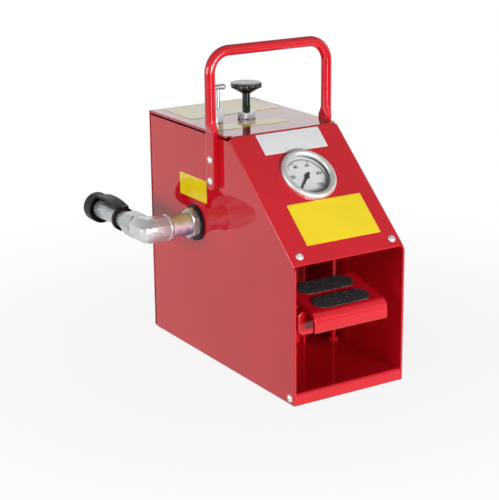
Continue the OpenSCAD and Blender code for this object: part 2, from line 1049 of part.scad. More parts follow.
module pedal_plate() {
    color(paint_red) from_front()
        across(-pedal_w / 2, pedal_w)
            pedal_outline();
}

module grip_pads() {
    color(rubber_black)
        for (k = [0, 1])
            on_pedal(pad_first + k * pad_pitch)
                linear_extrude(pad_t)
                    obround(pad_len, pad_w);
}

// Wedge welded between the arm and the underside of the pedal
module pedal_saddle() {
    rise = saddle_len * tan(pedal_tilt);
    color(paint_red) from_front()
        across(arm_x - arm_flat_w / 2, arm_flat_w)
            polygon([
                [saddle_y0, arm_top],
                [saddle_y0 + saddle_len, arm_top],
                [saddle_y0 + saddle_len, arm_top + saddle_h + rise],
                [saddle_y0, arm_top + saddle_h]
            ]);
}

module arm_section(w, h, c) {
    polygon([
        [-w / 2 + c, -h / 2], [w / 2 - c, -h / 2], [w / 2, -h / 2 + c], [w / 2, h / 2 - c],
        [w / 2 - c, h / 2], [-w / 2 + c, h / 2], [-w / 2, h / 2 - c], [-w / 2, -h / 2 + c]
    ]);
}

module pedal_arm() {
    length = arm_end - arm_setback;
    slot_y = valve_setback - roller_r - fork_gap;
    slot_w = roller_w + 2 * free_gap;
    color(paint_red) from_front()
        difference() {
            union() {
                difference() {
                    translate([arm_x, arm_end, pivot_h])
                        rotate([90, 0, 0])
                            linear_extrude(length)
                                arm_section(arm_w, arm_h, arm_chamfer);
                    translate([arm_x, slot_y - arm_wall, pivot_h])
                        rotate([90, 0, 0])
                            linear_extrude(length - (arm_end - slot_y) - 2 * arm_wall)
                                arm_section(arm_w - 2 * arm_wall, arm_h - 2 * arm_wall, arm_chamfer - 1);
                }
                translate([arm_x, pivot_setback, pivot_h])
                    rotate([0, 90, 0])
                        cylinder(h = arm_w - arm_wall, r = pivot_d / 2 + bush_wall + hub_wall, center = true);
            }
            translate([arm_x, pivot_setback, pivot_h])
                rotate([0, 90, 0])
                    cylinder(h = 2 * arm_w, d = pivot_d + 2 * bush_wall + 2 * slip_gap, center = true);
            translate([arm_x - slot_w / 2, slot_y, pivot_h - arm_h])
                cube([slot_w, arm_end, 2 * arm_h]);
            translate([arm_x, valve_setback, roller_h])
                rotate([0, 90, 0])
                    cylinder(h = 2 * arm_w, d = roller_pin_d + 2 * slip_gap, center = true);
        }
}

module pivot_bushes() {
    half = arm_w / 2;
    gap = 1;
    color(brass) from_front()
        for (side = [-1, 1])
            translate([arm_x, pivot_setback, pivot_h])
                rotate([0, side * 90, 0])
                    difference() {
                        union() {
                            translate([0, 0, gap])
                                cylinder(h = half - gap + eps, d = pivot_d + 2 * bush_wall);
                            translate([0, 0, half])
                                cylinder(h = bush_flange, r = bush_flange_r);
                        }
                        cylinder(h = arm_w, r = pivot_d / 2 + run_gap);
                    }
}

module roller_pin() {
    color(alloy) from_front()
        translate([arm_x, valve_setback, roller_h])
            rotate([0, 90, 0])
                cylinder(h = arm_w, d = roller_pin_d, center = true);
}

// Roller with a shallow crown
module cam_roller() {
    crown = 0.6;
    color(alloy) from_front()
        translate([arm_x, valve_setback, roller_h])
            rotate([0, 90, 0])
                rotate_extrude()
                    polygon([
                        [roller_pin_d / 2 + run_gap, -roller_w / 2],
                        [roller_r - crown, -roller_w / 2],
                        [roller_r, -roller_w / 4],
                        [roller_r, roller_w / 4],
                        [roller_r - crown, roller_w / 2],
                        [roller_pin_d / 2 + run_gap, roller_w / 2]
                    ]);
}

module valve_block() {
    block_w = block_x1 - block_x0;
    color(alloy) from_front()
        difference() {
            translate([block_x0, block_y0, block_z0])
                cube([block_w, block_d, block_h]);
            block_bores();
        }
}

module block_bores() {
    translate([spool_x, valve_setback, block_z0 - 1])
        cylinder(h = spool_top - block_z0 + 1, d = spool_d);
    translate([block_x0 - 1, valve_setback, outlet_h])
        rotate([0, 90, 0])
            cylinder(h = port_depth + 1, d = pipe_d + 2 * slip_gap);
    translate([block_x0, valve_setback, outlet_h])
        rotate([0, 90, 0])
            cylinder(h = spool_x - block_x0, r = passage_r);
    translate([inlet_x, block_y0 + block_d + 1, outlet_h])
        rotate([90, 0, 0])
            cylinder(h = port_depth + 1, d = inlet_pipe_d + 2 * slip_gap);
    translate([inlet_x, block_y0 + block_d, outlet_h])
        rotate([90, 0, 0])
            cylinder(h = block_d - passage_end, r = passage_r);
    translate([spool_x, valve_setback, outlet_h])
        rotate([0, 90, 0])
            cylinder(h = inlet_x - spool_x, r = passage_r);
    translate([0, knob_y, block_z1 - well_depth])
        cylinder(h = well_depth + 1, r = seat_r);
    translate([0, knob_y, outlet_h])
        cylinder(h = block_h, r = sense_r);
    translate([0, block_y0 - 1, line_h])
        rotate([-90, 0, 0])
            cylinder(h = line_port + 1, r = line_r + slip_gap);
    translate([needle_x, needle_y, block_z1 - needle_port])
        cylinder(h = needle_port + 1, r = needle_tube_r + slip_gap);
    translate([block_x1 + 1, silencer_y, outlet_h])
        rotate([0, -90, 0])
            cylinder(h = port_depth + 1, r = silencer_thread_r + slip_gap);
    for (p = block_screw_spots())
        translate([p[0], p[1], block_z0 - 1])
            cylinder(h = block_screw_depth + 1, d = screw_d + 2 * slip_gap);
}

// Spool with its foot disc, plunger, two lands and the necks between them
module valve_spool() {
    land_r = spool_d / 2 - run_gap;
    neck_r = land_r - neck_cut;
    pitch = 2 * land_h;
    groove = seal_t;
    color(alloy) from_front()
        translate([spool_x, valve_setback, 0])
            difference() {
                union() {
                    translate([0, 0, foot_z])
                        cylinder(h = foot_disc_h, d = foot_disc_d);
                    translate([0, 0, foot_z])
                        cylinder(h = land_z0 - foot_z + eps, d = plunger_d);
                    translate([0, 0, land_z0])
                        cylinder(h = pitch + land_h, r = neck_r);
                    for (k = [0, 1])
                        translate([0, 0, land_z0 + k * pitch])
                            cylinder(h = land_h, r = land_r);
                }
                for (k = [0, 1])
                    translate([0, 0, land_z0 + k * pitch + (land_h - groove) / 2])
                        difference() {
                            cylinder(h = groove, r = land_r + 1);
                            cylinder(h = groove, r = land_r - groove);
                        }
            }
}

module spool_seals() {
    land_r = spool_d / 2 - run_gap;
    r_mid = land_r - seal_t / 2;
    color(rubber_black) from_front()
        for (k = [0, 1])
            translate([spool_x, valve_setback, land_z0 + 2 * k * land_h + land_h / 2])
                rotate_extrude()
                    translate([r_mid, 0])
                        circle(d = seal_t - 2 * run_gap);
}

module spool_gland() {
    color(brass) from_front()
        translate([spool_x, valve_setback, block_z0])
            difference() {
                cylinder(h = gland_h, d = spool_d - 2 * run_gap);
                translate([0, 0, -1])
                    cylinder(h = gland_h + 2, r = plunger_d / 2 + run_gap);
            }
}

module return_spring() {
    z0 = foot_z + foot_disc_h + slip_gap;
    color(plated) from_front()
        translate([spool_x, valve_setback, z0])
            coil(spring_mean_r, spring_wire, block_z0 - bracket_t - slip_gap - z0, spring_turns);
}

module inlet_port() {
    inner = wall_d - inlet_neck_len;
    color(plated) from_front()
        translate([inlet_x, 0, outlet_h])
            difference() {
                union() {
                    translate([0, housing_d, 0])
                        rotate([-90, 0, 0])
                            hex_prism(inlet_hex_af, inlet_hex_h);
                    translate([0, inner, 0])
                        rotate([-90, 0, 0])
                            cylinder(h = housing_d - inner + eps, r = inlet_neck_r);
                }
                translate([0, housing_d + inlet_hex_h - inlet_port_len, 0])
                    rotate([-90, 0, 0])
                        cylinder(h = inlet_port_len + 1, r = inlet_bore_r);
                translate([0, inner - 1, 0])
                    rotate([-90, 0, 0])
                        cylinder(h = inlet_neck_len + inlet_hex_h, r = inlet_bore_r - inlet_step);
                translate([0, inner - 1, 0])
                    rotate([-90, 0, 0])
                        cylinder(h = port_depth + 1, d = inlet_pipe_d + 2 * slip_gap);
            }
}

module inlet_nut() {
    color(plated) from_front()
        translate([inlet_x, wall_d, outlet_h])
            rotate([90, 0, 0])
                hex_nut(inlet_hex_af, inlet_nut_h, inlet_neck_r + slip_gap);
}

module inlet_pipe() {
    y0 = block_y0 + block_d - port_depth;
    y1 = wall_d - inlet_neck_len + port_depth;
    color(plated) from_front()
        translate([inlet_x, y0, outlet_h])
            rotate([-90, 0, 0])
                difference() {
                    cylinder(h = y1 - y0, d = inlet_pipe_d);
                    translate([0, 0, -1])
                        cylinder(h = y1 - y0 + 2, r = inlet_bore_r);
                }
}

module exhaust_silencer() {
    color(brass) from_front()
        translate([block_x1, silencer_y, outlet_h])
            rotate([0, 90, 0]) {
                translate([0, 0, -port_depth])
                    cylinder(h = port_depth + eps, r = silencer_thread_r);
                difference() {
                    cylinder(h = silencer_len, r = silencer_r);
                    for (z = [vent_first : vent_pitch : silencer_len - vent_pitch])
                        translate([0, 0, z])
                            difference() {
                                cylinder(h = vent_w, r = silencer_r + 1);
                                cylinder(h = vent_w, r = silencer_r - vent_w);
                            }
                }
            }
}

// Spring housing of the regulator, from the valve block up through the top plate
module regulator_bonnet() {
    collar_top = housing_h - sheet_t - block_z1;
    body_top = collar_top - bonnet_collar_h;
    cone = bonnet_r - bonnet_collar_r;
    top = housing_h + locknut_h - block_z1;
    cavity_r = bonnet_r - bonnet_wall;
    color(alloy) from_front()
        translate([0, knob_y, block_z1])
            rotate_extrude()
                polygon([
                    [cavity_r, 0], [bonnet_flange_r, 0],
                    [bonnet_flange_r, bonnet_flange_h], [bonnet_r, bonnet_flange_h],
                    [bonnet_r, body_top - cone], [bonnet_collar_r, body_top],
                    [bonnet_collar_r, collar_top], [bonnet_neck_r, collar_top],
                    [bonnet_neck_r, top], [screw_r + run_gap, top],
                    [screw_r + run_gap, body_top - bonnet_wall],
                    [cavity_r, body_top - bonnet_wall - cone]
                ]);
}

module regulator_locknut() {
    color(plated) from_front()
        translate([0, knob_y, housing_h])
            hex_nut(locknut_af, locknut_h, bonnet_neck_r + slip_gap);
}

function seat_z() = housing_h - sheet_t - bonnet_collar_h - bonnet_wall - seat_drop;

module spring_seat() {
    color(plated) from_front()
        translate([0, knob_y, seat_z()])
            cylinder(h = seat_h, r = seat_r);
}

module regulator_spring() {
    z0 = block_z1 + diaphragm_h;
    mean_r = seat_r - reg_wire / 2 - reg_side;
    color(plated) from_front() {
        translate([0, knob_y, z0 + slip_gap])
            coil(mean_r, reg_wire, seat_z() - z0 - 2 * slip_gap, reg_turns);
        translate([0, knob_y, block_z1])
            cylinder(h = diaphragm_h, r = seat_r);
    }
}

// Lobed rim, domed top and conical hub
module regulator_knob() {
    z0 = housing_h + knob_lift;
    rim_z = knob_hub_h - 2;
    color(rubber_black) from_front()
        translate([0, knob_y, z0])
            difference() {
                intersection() {
                    linear_extrude(rim_z + knob_rim_h + knob_dome_h)
                        knob_outline();
                    knob_turning(rim_z);
                }
                translate([0, 0, -1])
                    cylinder(h = rim_z + knob_rim_h / 2 + 1, r = screw_r + slip_gap);
            }
}

module knob_outline() {
    pitch_r = knob_d / 2 - lobe_r;
    circle(pitch_r + lobe_r * lobe_fill);
    for (k = [0 : knob_lobes - 1])
        rotate(360 * k / knob_lobes)
            translate([pitch_r, 0])
                circle(lobe_r);
}

module knob_turning(rim_z) {
    r = knob_d / 2;
    hub_r0 = knob_stem_d / 2 + knob_lip;
    rim_top = rim_z + knob_rim_h;
    rotate_extrude()
        polygon([
            [0, 0], [hub_r0, 0], [r * knob_flare, rim_z], [r, rim_z + knob_edge],
            [r, rim_top - knob_edge], [r - knob_edge, rim_top],
            [r * knob_crown, rim_top + knob_dome_h * knob_flare], [0, rim_top + knob_dome_h]
        ]);
}

module regulator_stem() {
    z0 = housing_h + locknut_h + free_gap;
    z1 = housing_h + knob_lift;
    screw_end = seat_z() + seat_h + free_gap;
    color(rubber_black) from_front()
        translate([0, knob_y, 0]) {
            translate([0, 0, z0])
                cylinder(h = z1 - z0, d = knob_stem_d);
            translate([0, 0, screw_end])
                cylinder(h = z1 + knob_hub_h - screw_end, r = screw_r);
        }
}

module needle_body() {
    top = housing_h - sheet_t;
    color(plated) from_front()
        translate([needle_x, needle_y, 0])
            difference() {
                union() {
                    translate([0, 0, top - needle_body_h])
                        hex_prism(needle_body_af, needle_body_h);
                    translate([0, 0, top - eps])
                        cylinder(h = sheet_t + needle_neck_h, r = needle_neck_r);
                }
                translate([0, 0, top - needle_body_h + needle_port + needle_seat])
                    cylinder(h = needle_body_h + sheet_t + needle_neck_h, r = needle_stem_r + run_gap);
                translate([0, 0, top - needle_body_h - 1])
                    cylinder(h = needle_port + 1, r = needle_tube_r + slip_gap);
            }
}

module needle_nut() {
    color(plated) from_front()
        translate([needle_x, needle_y, housing_h])
            difference() {
                hex_prism(needle_nut_af, needle_nut_h);
                translate([0, 0, -1])
                    cylinder(h = needle_neck_h + 1 + slip_gap, r = needle_neck_r + slip_gap);
                cylinder(h = needle_nut_h + 1, r = needle_stem_r + run_gap);
            }
}

// Stem with a round-ended bar across its top
module needle_bar() {
    bar_z = housing_h + bar_lift;
    z0 = housing_h - sheet_t - needle_body_h / 2;
    straight = bar_len / 2 - bar_r;
    color(plated) from_front()
        translate([needle_x, needle_y, 0]) {
            translate([0, 0, z0])
                cylinder(h = bar_z - z0, r = needle_stem_r);
            rod([-straight, 0, bar_z], [straight, 0, bar_z], bar_r);
            for (side = [-1, 1])
                translate([side * straight, 0, bar_z])
                    sphere(bar_r);
        }
}

module needle_tube() {
    z0 = block_z1 - needle_port;
    z1 = housing_h - sheet_t - needle_body_h + needle_port;
    color(brass) from_front()
        translate([needle_x, needle_y, z0])
            difference() {
                cylinder(h = z1 - z0, r = needle_tube_r);
                translate([0, 0, -1])
                    cylinder(h = z1 - z0 + 2, r = needle_tube_r - needle_tube_wall);
            }
}

module gauge_case() {
    color(alloy) on_slope(gauge_s)
        difference() {
            translate([0, 0, -gauge_depth])
                cylinder(h = gauge_depth + lens_z, r = case_r);
            translate([0, 0, -gauge_depth + case_wall])
                cylinder(h = gauge_depth + lens_z, r = case_r - case_wall);
            translate([0, 0, -gauge_depth - 1])
                cylinder(h = case_wall + 2, r = socket_r + slip_gap);
        }
}

// Rolled bezel that holds the lens on the case
module gauge_bezel() {
    r = bezel_d / 2;
    face_r = bezel_w / 2;
    color(plated) on_slope(gauge_s)
        difference() {
            rotate_extrude()
                intersection() {
                    union() {
                        translate([r - face_r, bezel_h - face_r])
                            circle(face_r);
                        translate([r - bezel_w, 0])
                            square([bezel_w, bezel_h - face_r]);
                    }
                    square([2 * r, 2 * bezel_h]);
                }
            translate([0, 0, -1])
                cylinder(h = bezel_h - lip_t + 1, r = case_r + slip_gap);
        }
}

module gauge_lens() {
    color([0.85, 0.92, 0.95, 0.3]) on_slope(gauge_s)
        translate([0, 0, lens_z])
            cylinder(h = lens_t, r = case_r);
}

module gauge_dial() {
    color("white") on_slope(gauge_s)
        translate([0, 0, dial_z])
            difference() {
                cylinder(h = dial_t, r = case_r - case_wall - slip_gap);
                cylinder(h = 4 * dial_t, r = spindle_r + free_gap, center = true);
            }
}

// Socket, movement plate, dial posts and the curved pressure tube
module gauge_movement() {
    back = -gauge_depth;
    tube_z = plate_z - bourdon_h / 2 - 1;
    color(brass) on_slope(gauge_s)
        difference() {
            union() {
                translate([0, 0, back - socket_len])
                    cylinder(h = socket_len + plate_z - back, r = socket_r);
                translate([0, 0, plate_z])
                    cylinder(h = plate_t, r = plate_r);
                for (side = [-1, 1])
                    translate([side * post_x, 0, plate_z])
                        cylinder(h = dial_z - plate_z, r = post_r);
                translate([0, 0, tube_z - bourdon_h / 2])
                    rotate([0, 0, 90 - bourdon_sweep])
                        rotate_extrude(angle = bourdon_sweep)
                            translate([bourdon_r, 0])
                                square([bourdon_t, bourdon_h]);
                translate([0, 0, tube_z - bourdon_h / 2])
                    rotate([0, 0, 90 - bourdon_sweep])
                        cube([bourdon_r + bourdon_t / 2, bourdon_t, bourdon_h]);
            }
            translate([0, 0, plate_z - 2 * spindle_sink])
                cylinder(h = 2 * spindle_sink - plate_z, r = spindle_r + run_gap);
            translate([0, 0, back - socket_len - 1])
                cylinder(h = line_port + 1, r = line_r + slip_gap);
        }
}

// Tapered blade with a round tail, on its spindle
module gauge_pointer() {
    tip_w = 0.5;
    root_w = 1.5;
    tail_w = 1.4;
    color(rubber_black) on_slope(gauge_s)
        rotate([0, 0, pointer_rest]) {
            translate([0, 0, pointer_z])
                linear_extrude(pointer_t) {
                    circle(hub_r);
                    polygon([
                        [-tail_w, -pointer_tail], [tail_w, -pointer_tail], [root_w, 0],
                        [tip_w, pointer_len], [-tip_w, pointer_len], [-root_w, 0]
                    ]);
                }
            translate([0, 0, plate_z - spindle_sink])
                cylinder(h = pointer_z - plate_z + spindle_sink + pointer_t / 2, r = spindle_r);
        }
}

// Tube from the gauge socket down to the front of the valve block
module gauge_line() {
    reach = gauge_depth + socket_len - line_port;
    y0 = gauge_s * cos(slope_a) + reach * sin(slope_a);
    z0 = front_h + gauge_s * sin(slope_a) - reach * cos(slope_a);
    corner = y0 + (z0 - line_h) * tan(slope_a);
    turn = 90 - slope_a;
    tangent = line_bend_r * tan(turn / 2);
    steps = 8;
    sides = 16;
    bend = [
        for (i = [0 : steps])
            let (h = -turn * (1 - i / steps))
                [corner + tangent + line_bend_r * sin(h), line_h + line_bend_r * (1 - cos(h)), h]
    ];
    path = concat([[y0, z0, -turn]], bend, [[block_y0 + line_port, line_h, 0]]);
    points = [
        for (p = path)
            for (k = [0 : sides - 1])
                let (b = 360 * k / sides, up = line_r * sin(b))
                    [line_r * cos(b), p[0] - up * sin(p[2]), p[1] + up * cos(p[2])]
    ];
    color(brass) from_front()
        polyhedron(points, tube_faces(len(path), sides));
}

// Rubber grommet in the left wall
module outlet_grommet() {
    color(rubber_black) from_front()
        translate([-housing_w / 2 - grommet_lip, valve_setback, outlet_h])
            rotate([0, 90, 0])
                difference() {
                    union() {
                        cylinder(h = grommet_lip, d = grommet_d);
                        cylinder(h = 2 * grommet_lip + sheet_t, r = grommet_neck_r);
                        translate([0, 0, grommet_lip + sheet_t])
                            cylinder(h = grommet_lip, d = grommet_d);
                    }
                    translate([0, 0, -1])
                        cylinder(h = 4 * grommet_lip + sheet_t, r = pipe_d / 2 + slip_gap);
                }
}

module outlet_pipe() {
    x0 = elbow_mouth - pipe_in;
    x1 = block_x0 + port_depth;
    color([0.78, 0.66, 0.5]) from_front()
        translate([x0, valve_setback, outlet_h])
            rotate([0, 90, 0])
                difference() {
                    cylinder(h = x1 - x0, d = pipe_d);
                    translate([0, 0, -1])
                        cylinder(h = x1 - x0 + 2, d = pipe_bore);
                }
}

module outlet_nut() {
    color(plated) from_front()
        translate([-housing_w / 2 - grommet_lip, valve_setback, outlet_h])
            rotate([0, -90, 0])
                hex_nut(outlet_nut_af, outlet_nut_h, pipe_d / 2 + slip_gap);
}

// Leg of the forged elbow: an octagonal bar from beyond the corner to its mouth
module elbow_bar(length) {
    turn = 180 / 8;
    translate([0, 0, -elbow_d / 2])
        rotate([0, 0, turn])
            cylinder(h = length + elbow_d / 2, d = elbow_d / cos(turn), $fn = 8);
}

// Two bored legs with a bevelled corner and a collar at the pipe's end
module outlet_elbow() {
    leg = elbow_mouth - coupler_x;
    color(plated) from_front()
        translate([coupler_x, valve_setback, outlet_h])
            difference() {
                union() {
                    rotate([0, 90, 0])
                        elbow_bar(leg);
                    rotate([-90, 0, 0])
                        elbow_bar(elbow_leg);
                    rotate([0, 90, 0])
                        translate([0, 0, leg - elbow_collar_len])
                            cylinder(h = elbow_collar_len, d = elbow_collar_d);
                }
                translate([-elbow_d / 2, -elbow_d / 2, 0])
                    rotate([0, 0, 45])
                        cube([elbow_bevel, elbow_bevel, 2 * elbow_d], center = true);
                sphere(d = pipe_bore);
                rotate([0, 90, 0])
                    cylinder(h = leg + 1, d = pipe_bore);
                rotate([0, 90, 0])
                    translate([0, 0, leg - pipe_in])
                        cylinder(h = pipe_in + 1, d = pipe_d + 2 * slip_gap);
                rotate([-90, 0, 0])
                    cylinder(h = elbow_leg + 1, d = pipe_bore);
                rotate([-90, 0, 0])
                    translate([0, 0, elbow_leg - nipple_thread_len])
                        cylinder(h = nipple_thread_len + 1, r = nipple_thread_r + slip_gap);
            }
}

// Frame of the coupling: z along its length from the elbow's rear mouth
module on_coupling(z = 0) {
    from_front()
        translate([coupler_x, nipple_y0, outlet_h])
            rotate([-90, 0, 0])
                translate([0, 0, z])
                    children();
}

module coupling_nipple() {
    waist = nipple_gap + nipple_hex_len;
    end_z = nipple_len - nipple_nose_len - nipple_end_len;
    color(plated)
        difference() {
            union() {
                on_coupling(-nipple_thread_len)
                    cylinder(h = nipple_thread_len + nipple_gap + eps, r = nipple_thread_r);
                on_coupling(nipple_gap)
                    hex_prism(nipple_hex_af, nipple_hex_len);
                on_coupling(waist - eps)
                    cylinder(h = end_z - waist + 2 * eps, r = nipple_r);
                on_coupling(end_z)
                    cylinder(h = nipple_end_len, r = nipple_end_r);
                on_coupling(end_z + nipple_end_len - eps)
                    cylinder(h = nipple_nose_len, r = nipple_nose_r);
            }
            on_coupling(-nipple_thread_len - 1)
                cylinder(h = nipple_len + nipple_thread_len - poppet_setback + 1, r = nipple_bore_r);
            on_coupling(0)
                cylinder(h = nipple_len + 1, r = nipple_seat_r);
        }
}

// Poppet of the check valve, held on its seat in the nipple's nose
module check_poppet() {
    z1 = nipple_len - poppet_setback;
    color(brass) on_coupling(z1 - poppet_len) {
        cylinder(h = poppet_len - slip_gap, r = poppet_r);
        cylinder(h = poppet_len + poppet_nose, r = nipple_seat_r - free_gap);
    }
}

module check_spring() {
    z1 = nipple_len - poppet_setback - poppet_len;
    color(plated) on_coupling(z1 - check_len)
        coil(poppet_r - check_wire, check_wire, check_len - slip_gap, check_turns);
    color(plated) on_coupling(z1 - check_len - check_seat_h)
        difference() {
            cylinder(h = check_seat_h, r = nipple_bore_r - slip_gap);
            translate([0, 0, -1])
                cylinder(h = check_seat_h + 2, r = check_hole_r);
        }
}

// Dust cap: a rubber cup that grips the nose of the nipple
module dust_cap() {
    r = cap_d / 2;
    round_r = 5;
    color(rubber_black) on_coupling(cap_setback)
        difference() {
            rotate_extrude() {
                square([r, cap_len - round_r]);
                square([r - round_r, cap_len]);
                translate([r - round_r, cap_len - round_r])
                    circle(round_r);
            }
            translate([0, 0, -1])
                cylinder(h = cap_mouth_len + 1, r = r - cap_wall);
            translate([0, 0, -1])
                cylinder(h = nipple_nose_len + free_gap + 1, r = nipple_nose_r + free_gap);
        }
}

// Ring round the nipple and the strap from it to the rim of the dust cap
module cap_strap() {
    foot = [ring_setback + ring_w / 2, ring_r - strap_t];
    tip = [cap_setback - strap_stop, cap_d / 2 - strap_t];
    span = norm(tip - foot);
    arc_r = (span * span / 4 + strap_rise * strap_rise) / (2 * strap_rise);
    half = asin(span / 2 / arc_r);
    color(rubber_black) {
        on_coupling(ring_setback)
            difference() {
                cylinder(h = ring_w, r = ring_r);
                translate([0, 0, -1])
                    cylinder(h = ring_w + 2, r = nipple_r + slip_gap);
            }
        from_front()
            across(coupler_x - strap_w / 2, strap_w)
                translate([nipple_y0, outlet_h] + (foot + tip) / 2)
                    rotate(atan2(tip[1] - foot[1], tip[0] - foot[0]))
                        translate([0, strap_rise - arc_r])
                            ring_sector(arc_r + strap_t, arc_r, 90 - half, 90 + half);
    }
}

housing_shell();
floor_pan();
rear_panel();
front_brace();
valve_bracket();
carry_handle();
handle_screws();
handle_nuts();
housing_screws();
inner_screws();
pivot_stand();
pivot_pin();
pivot_clip();
pedal_stop();
stay_rod();
stay_nuts();
stay_bracket();
pedal_plate();
grip_pads();
pedal_saddle();
pedal_arm();
pivot_bushes();
roller_pin();
cam_roller();
valve_block();
valve_spool();
spool_seals();
spool_gland();
return_spring();
inlet_port();
inlet_nut();
inlet_pipe();
exhaust_silencer();
regulator_bonnet();
regulator_locknut();
regulator_spring();
spring_seat();
regulator_knob();
regulator_stem();
needle_body();
needle_nut();
needle_bar();
needle_tube();
gauge_case();
gauge_bezel();
gauge_lens();
gauge_dial();
gauge_movement();
gauge_pointer();
gauge_line();
outlet_grommet();
outlet_pipe();
outlet_nut();
outlet_elbow();
coupling_nipple();
check_poppet();
check_spring();
dust_cap();
cap_strap();
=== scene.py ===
"""Foot pedal air valve: finishes, plates, dial, reshaped pieces, springs and strap, with a plain studio."""

import json
import math

import bpy
from bpy.props import FloatProperty, FloatVectorProperty, PointerProperty
from mathutils import Matrix, Vector


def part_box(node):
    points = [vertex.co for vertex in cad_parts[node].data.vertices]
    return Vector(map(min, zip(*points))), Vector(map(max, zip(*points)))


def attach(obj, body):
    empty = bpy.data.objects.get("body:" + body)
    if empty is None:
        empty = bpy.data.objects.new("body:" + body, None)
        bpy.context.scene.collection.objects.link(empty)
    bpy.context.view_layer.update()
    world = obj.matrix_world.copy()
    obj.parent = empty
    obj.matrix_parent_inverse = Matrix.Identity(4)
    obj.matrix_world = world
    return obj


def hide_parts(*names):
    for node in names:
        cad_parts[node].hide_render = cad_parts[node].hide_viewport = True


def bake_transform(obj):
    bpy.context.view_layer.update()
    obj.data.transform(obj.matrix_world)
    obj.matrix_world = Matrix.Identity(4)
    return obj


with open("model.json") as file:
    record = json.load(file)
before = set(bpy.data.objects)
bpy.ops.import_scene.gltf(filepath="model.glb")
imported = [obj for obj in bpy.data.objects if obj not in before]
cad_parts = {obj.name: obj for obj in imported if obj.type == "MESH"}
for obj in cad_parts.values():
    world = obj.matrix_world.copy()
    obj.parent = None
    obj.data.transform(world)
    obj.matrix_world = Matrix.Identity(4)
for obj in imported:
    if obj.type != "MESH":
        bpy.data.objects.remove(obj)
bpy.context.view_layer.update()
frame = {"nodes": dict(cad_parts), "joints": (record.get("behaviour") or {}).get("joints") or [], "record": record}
NODES = frame["nodes"]
JOINTS = {joint["name"]: joint for joint in frame["joints"]}

bl_info = {
    "name": "Foot pedal air valve",
    "version": (1, 0, 0),
    "blender": (4, 5, 0),
    "location": "View3D > Sidebar > Foot valve",
    "description": "Dresses the foot pedal air valve and sets up its studio",
    "category": "Object",
}

MM = 0.001
QUARTER = math.radians(90)
MERGE_GAP = 1e-6


def corners(node):
    """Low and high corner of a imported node's box."""
    return [Vector(corner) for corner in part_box(node)]


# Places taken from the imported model
SHELL_LOW, SHELL_HIGH = corners("housing_shell")
PIPE_LOW, PIPE_HIGH = corners("outlet_pipe")
GAUGE_CENTRE = Vector(JOINTS["pointer_turn"]["pos_m"])
SLOPE_NORMAL = -Vector(JOINTS["pointer_turn"]["axis"]).normalized()
SLOPE_ANGLE = math.atan2(-SLOPE_NORMAL.y, SLOPE_NORMAL.z)


class EnamelLook(bpy.types.PropertyGroup):
    """Colours of the enamel and of the yellow plates."""

    red: FloatVectorProperty(
        name="Enamel", description="Red of the housing, pedal and handle",
        subtype="COLOR", size=3, min=0.0, max=1.0, default=(0.62, 0.007, 0.018))
    deep_red: FloatVectorProperty(
        name="Enamel, deep", description="Darker end of the enamel's slow drift",
        subtype="COLOR", size=3, min=0.0, max=1.0, default=(0.54, 0.005, 0.014))
    yellow: FloatVectorProperty(
        name="Plate yellow", description="Yellow of the bare plates",
        subtype="COLOR", size=3, min=0.0, max=1.0, default=(0.93, 0.7, 0.012))
    gloss: FloatProperty(
        name="Enamel roughness", description="Roughness of the enamel where it is cleanest",
        subtype="FACTOR", min=0.0, max=1.0, default=0.015)


class PlateSizes(bpy.types.PropertyGroup):
    """Sizes of the bare plates."""

    slope_size: FloatVectorProperty(
        name="Slope plate", description="Width and length of the yellow plate under the gauge",
        unit="LENGTH", size=2, default=(100 * MM, 55 * MM))
    head_size: FloatVectorProperty(
        name="Head plate", description="Width and length of the white plate above the gauge",
        unit="LENGTH", size=2, default=(86 * MM, 29 * MM))
    wall_size: FloatVectorProperty(
        name="Wall plate", description="Length and height of the yellow plate above the outlet",
        unit="LENGTH", size=2, default=(63 * MM, 27 * MM))
    top_size: FloatVectorProperty(
        name="Top plate", description="Width and length of the yellow plate at the back of the top",
        unit="LENGTH", size=2, default=(126 * MM, 75 * MM))
    strip_size: FloatVectorProperty(
        name="Top strip", description="Width and length of the yellow plate behind the handle",
        unit="LENGTH", size=2, default=(92 * MM, 26 * MM))
    thickness: FloatProperty(
        name="Plate thickness", description="Thickness of every bare plate",
        unit="LENGTH", default=0.35 * MM)
    corner: FloatProperty(
        name="Plate corner", description="Corner radius of every bare plate",
        unit="LENGTH", default=1.2 * MM)


class DialSizes(bpy.types.PropertyGroup):
    """Printed scale of the pressure gauge."""

    outer: FloatProperty(
        name="Scale radius", description="Outer radius of the scale",
        unit="LENGTH", default=25.2 * MM)
    figure_radius: FloatProperty(
        name="Figure radius", description="Radius at which the figures stand",
        unit="LENGTH", default=17.4 * MM)
    figure_size: FloatProperty(
        name="Figure size", description="Height of the figures",
        unit="LENGTH", default=6.0 * MM)
    stroke: FloatProperty(
        name="Figure weight", description="Added to each side of the figures' strokes",
        unit="LENGTH", default=0.12 * MM)
    ink: FloatProperty(
        name="Ink height", description="Thickness of the printed marks",
        unit="LENGTH", default=0.06 * MM)


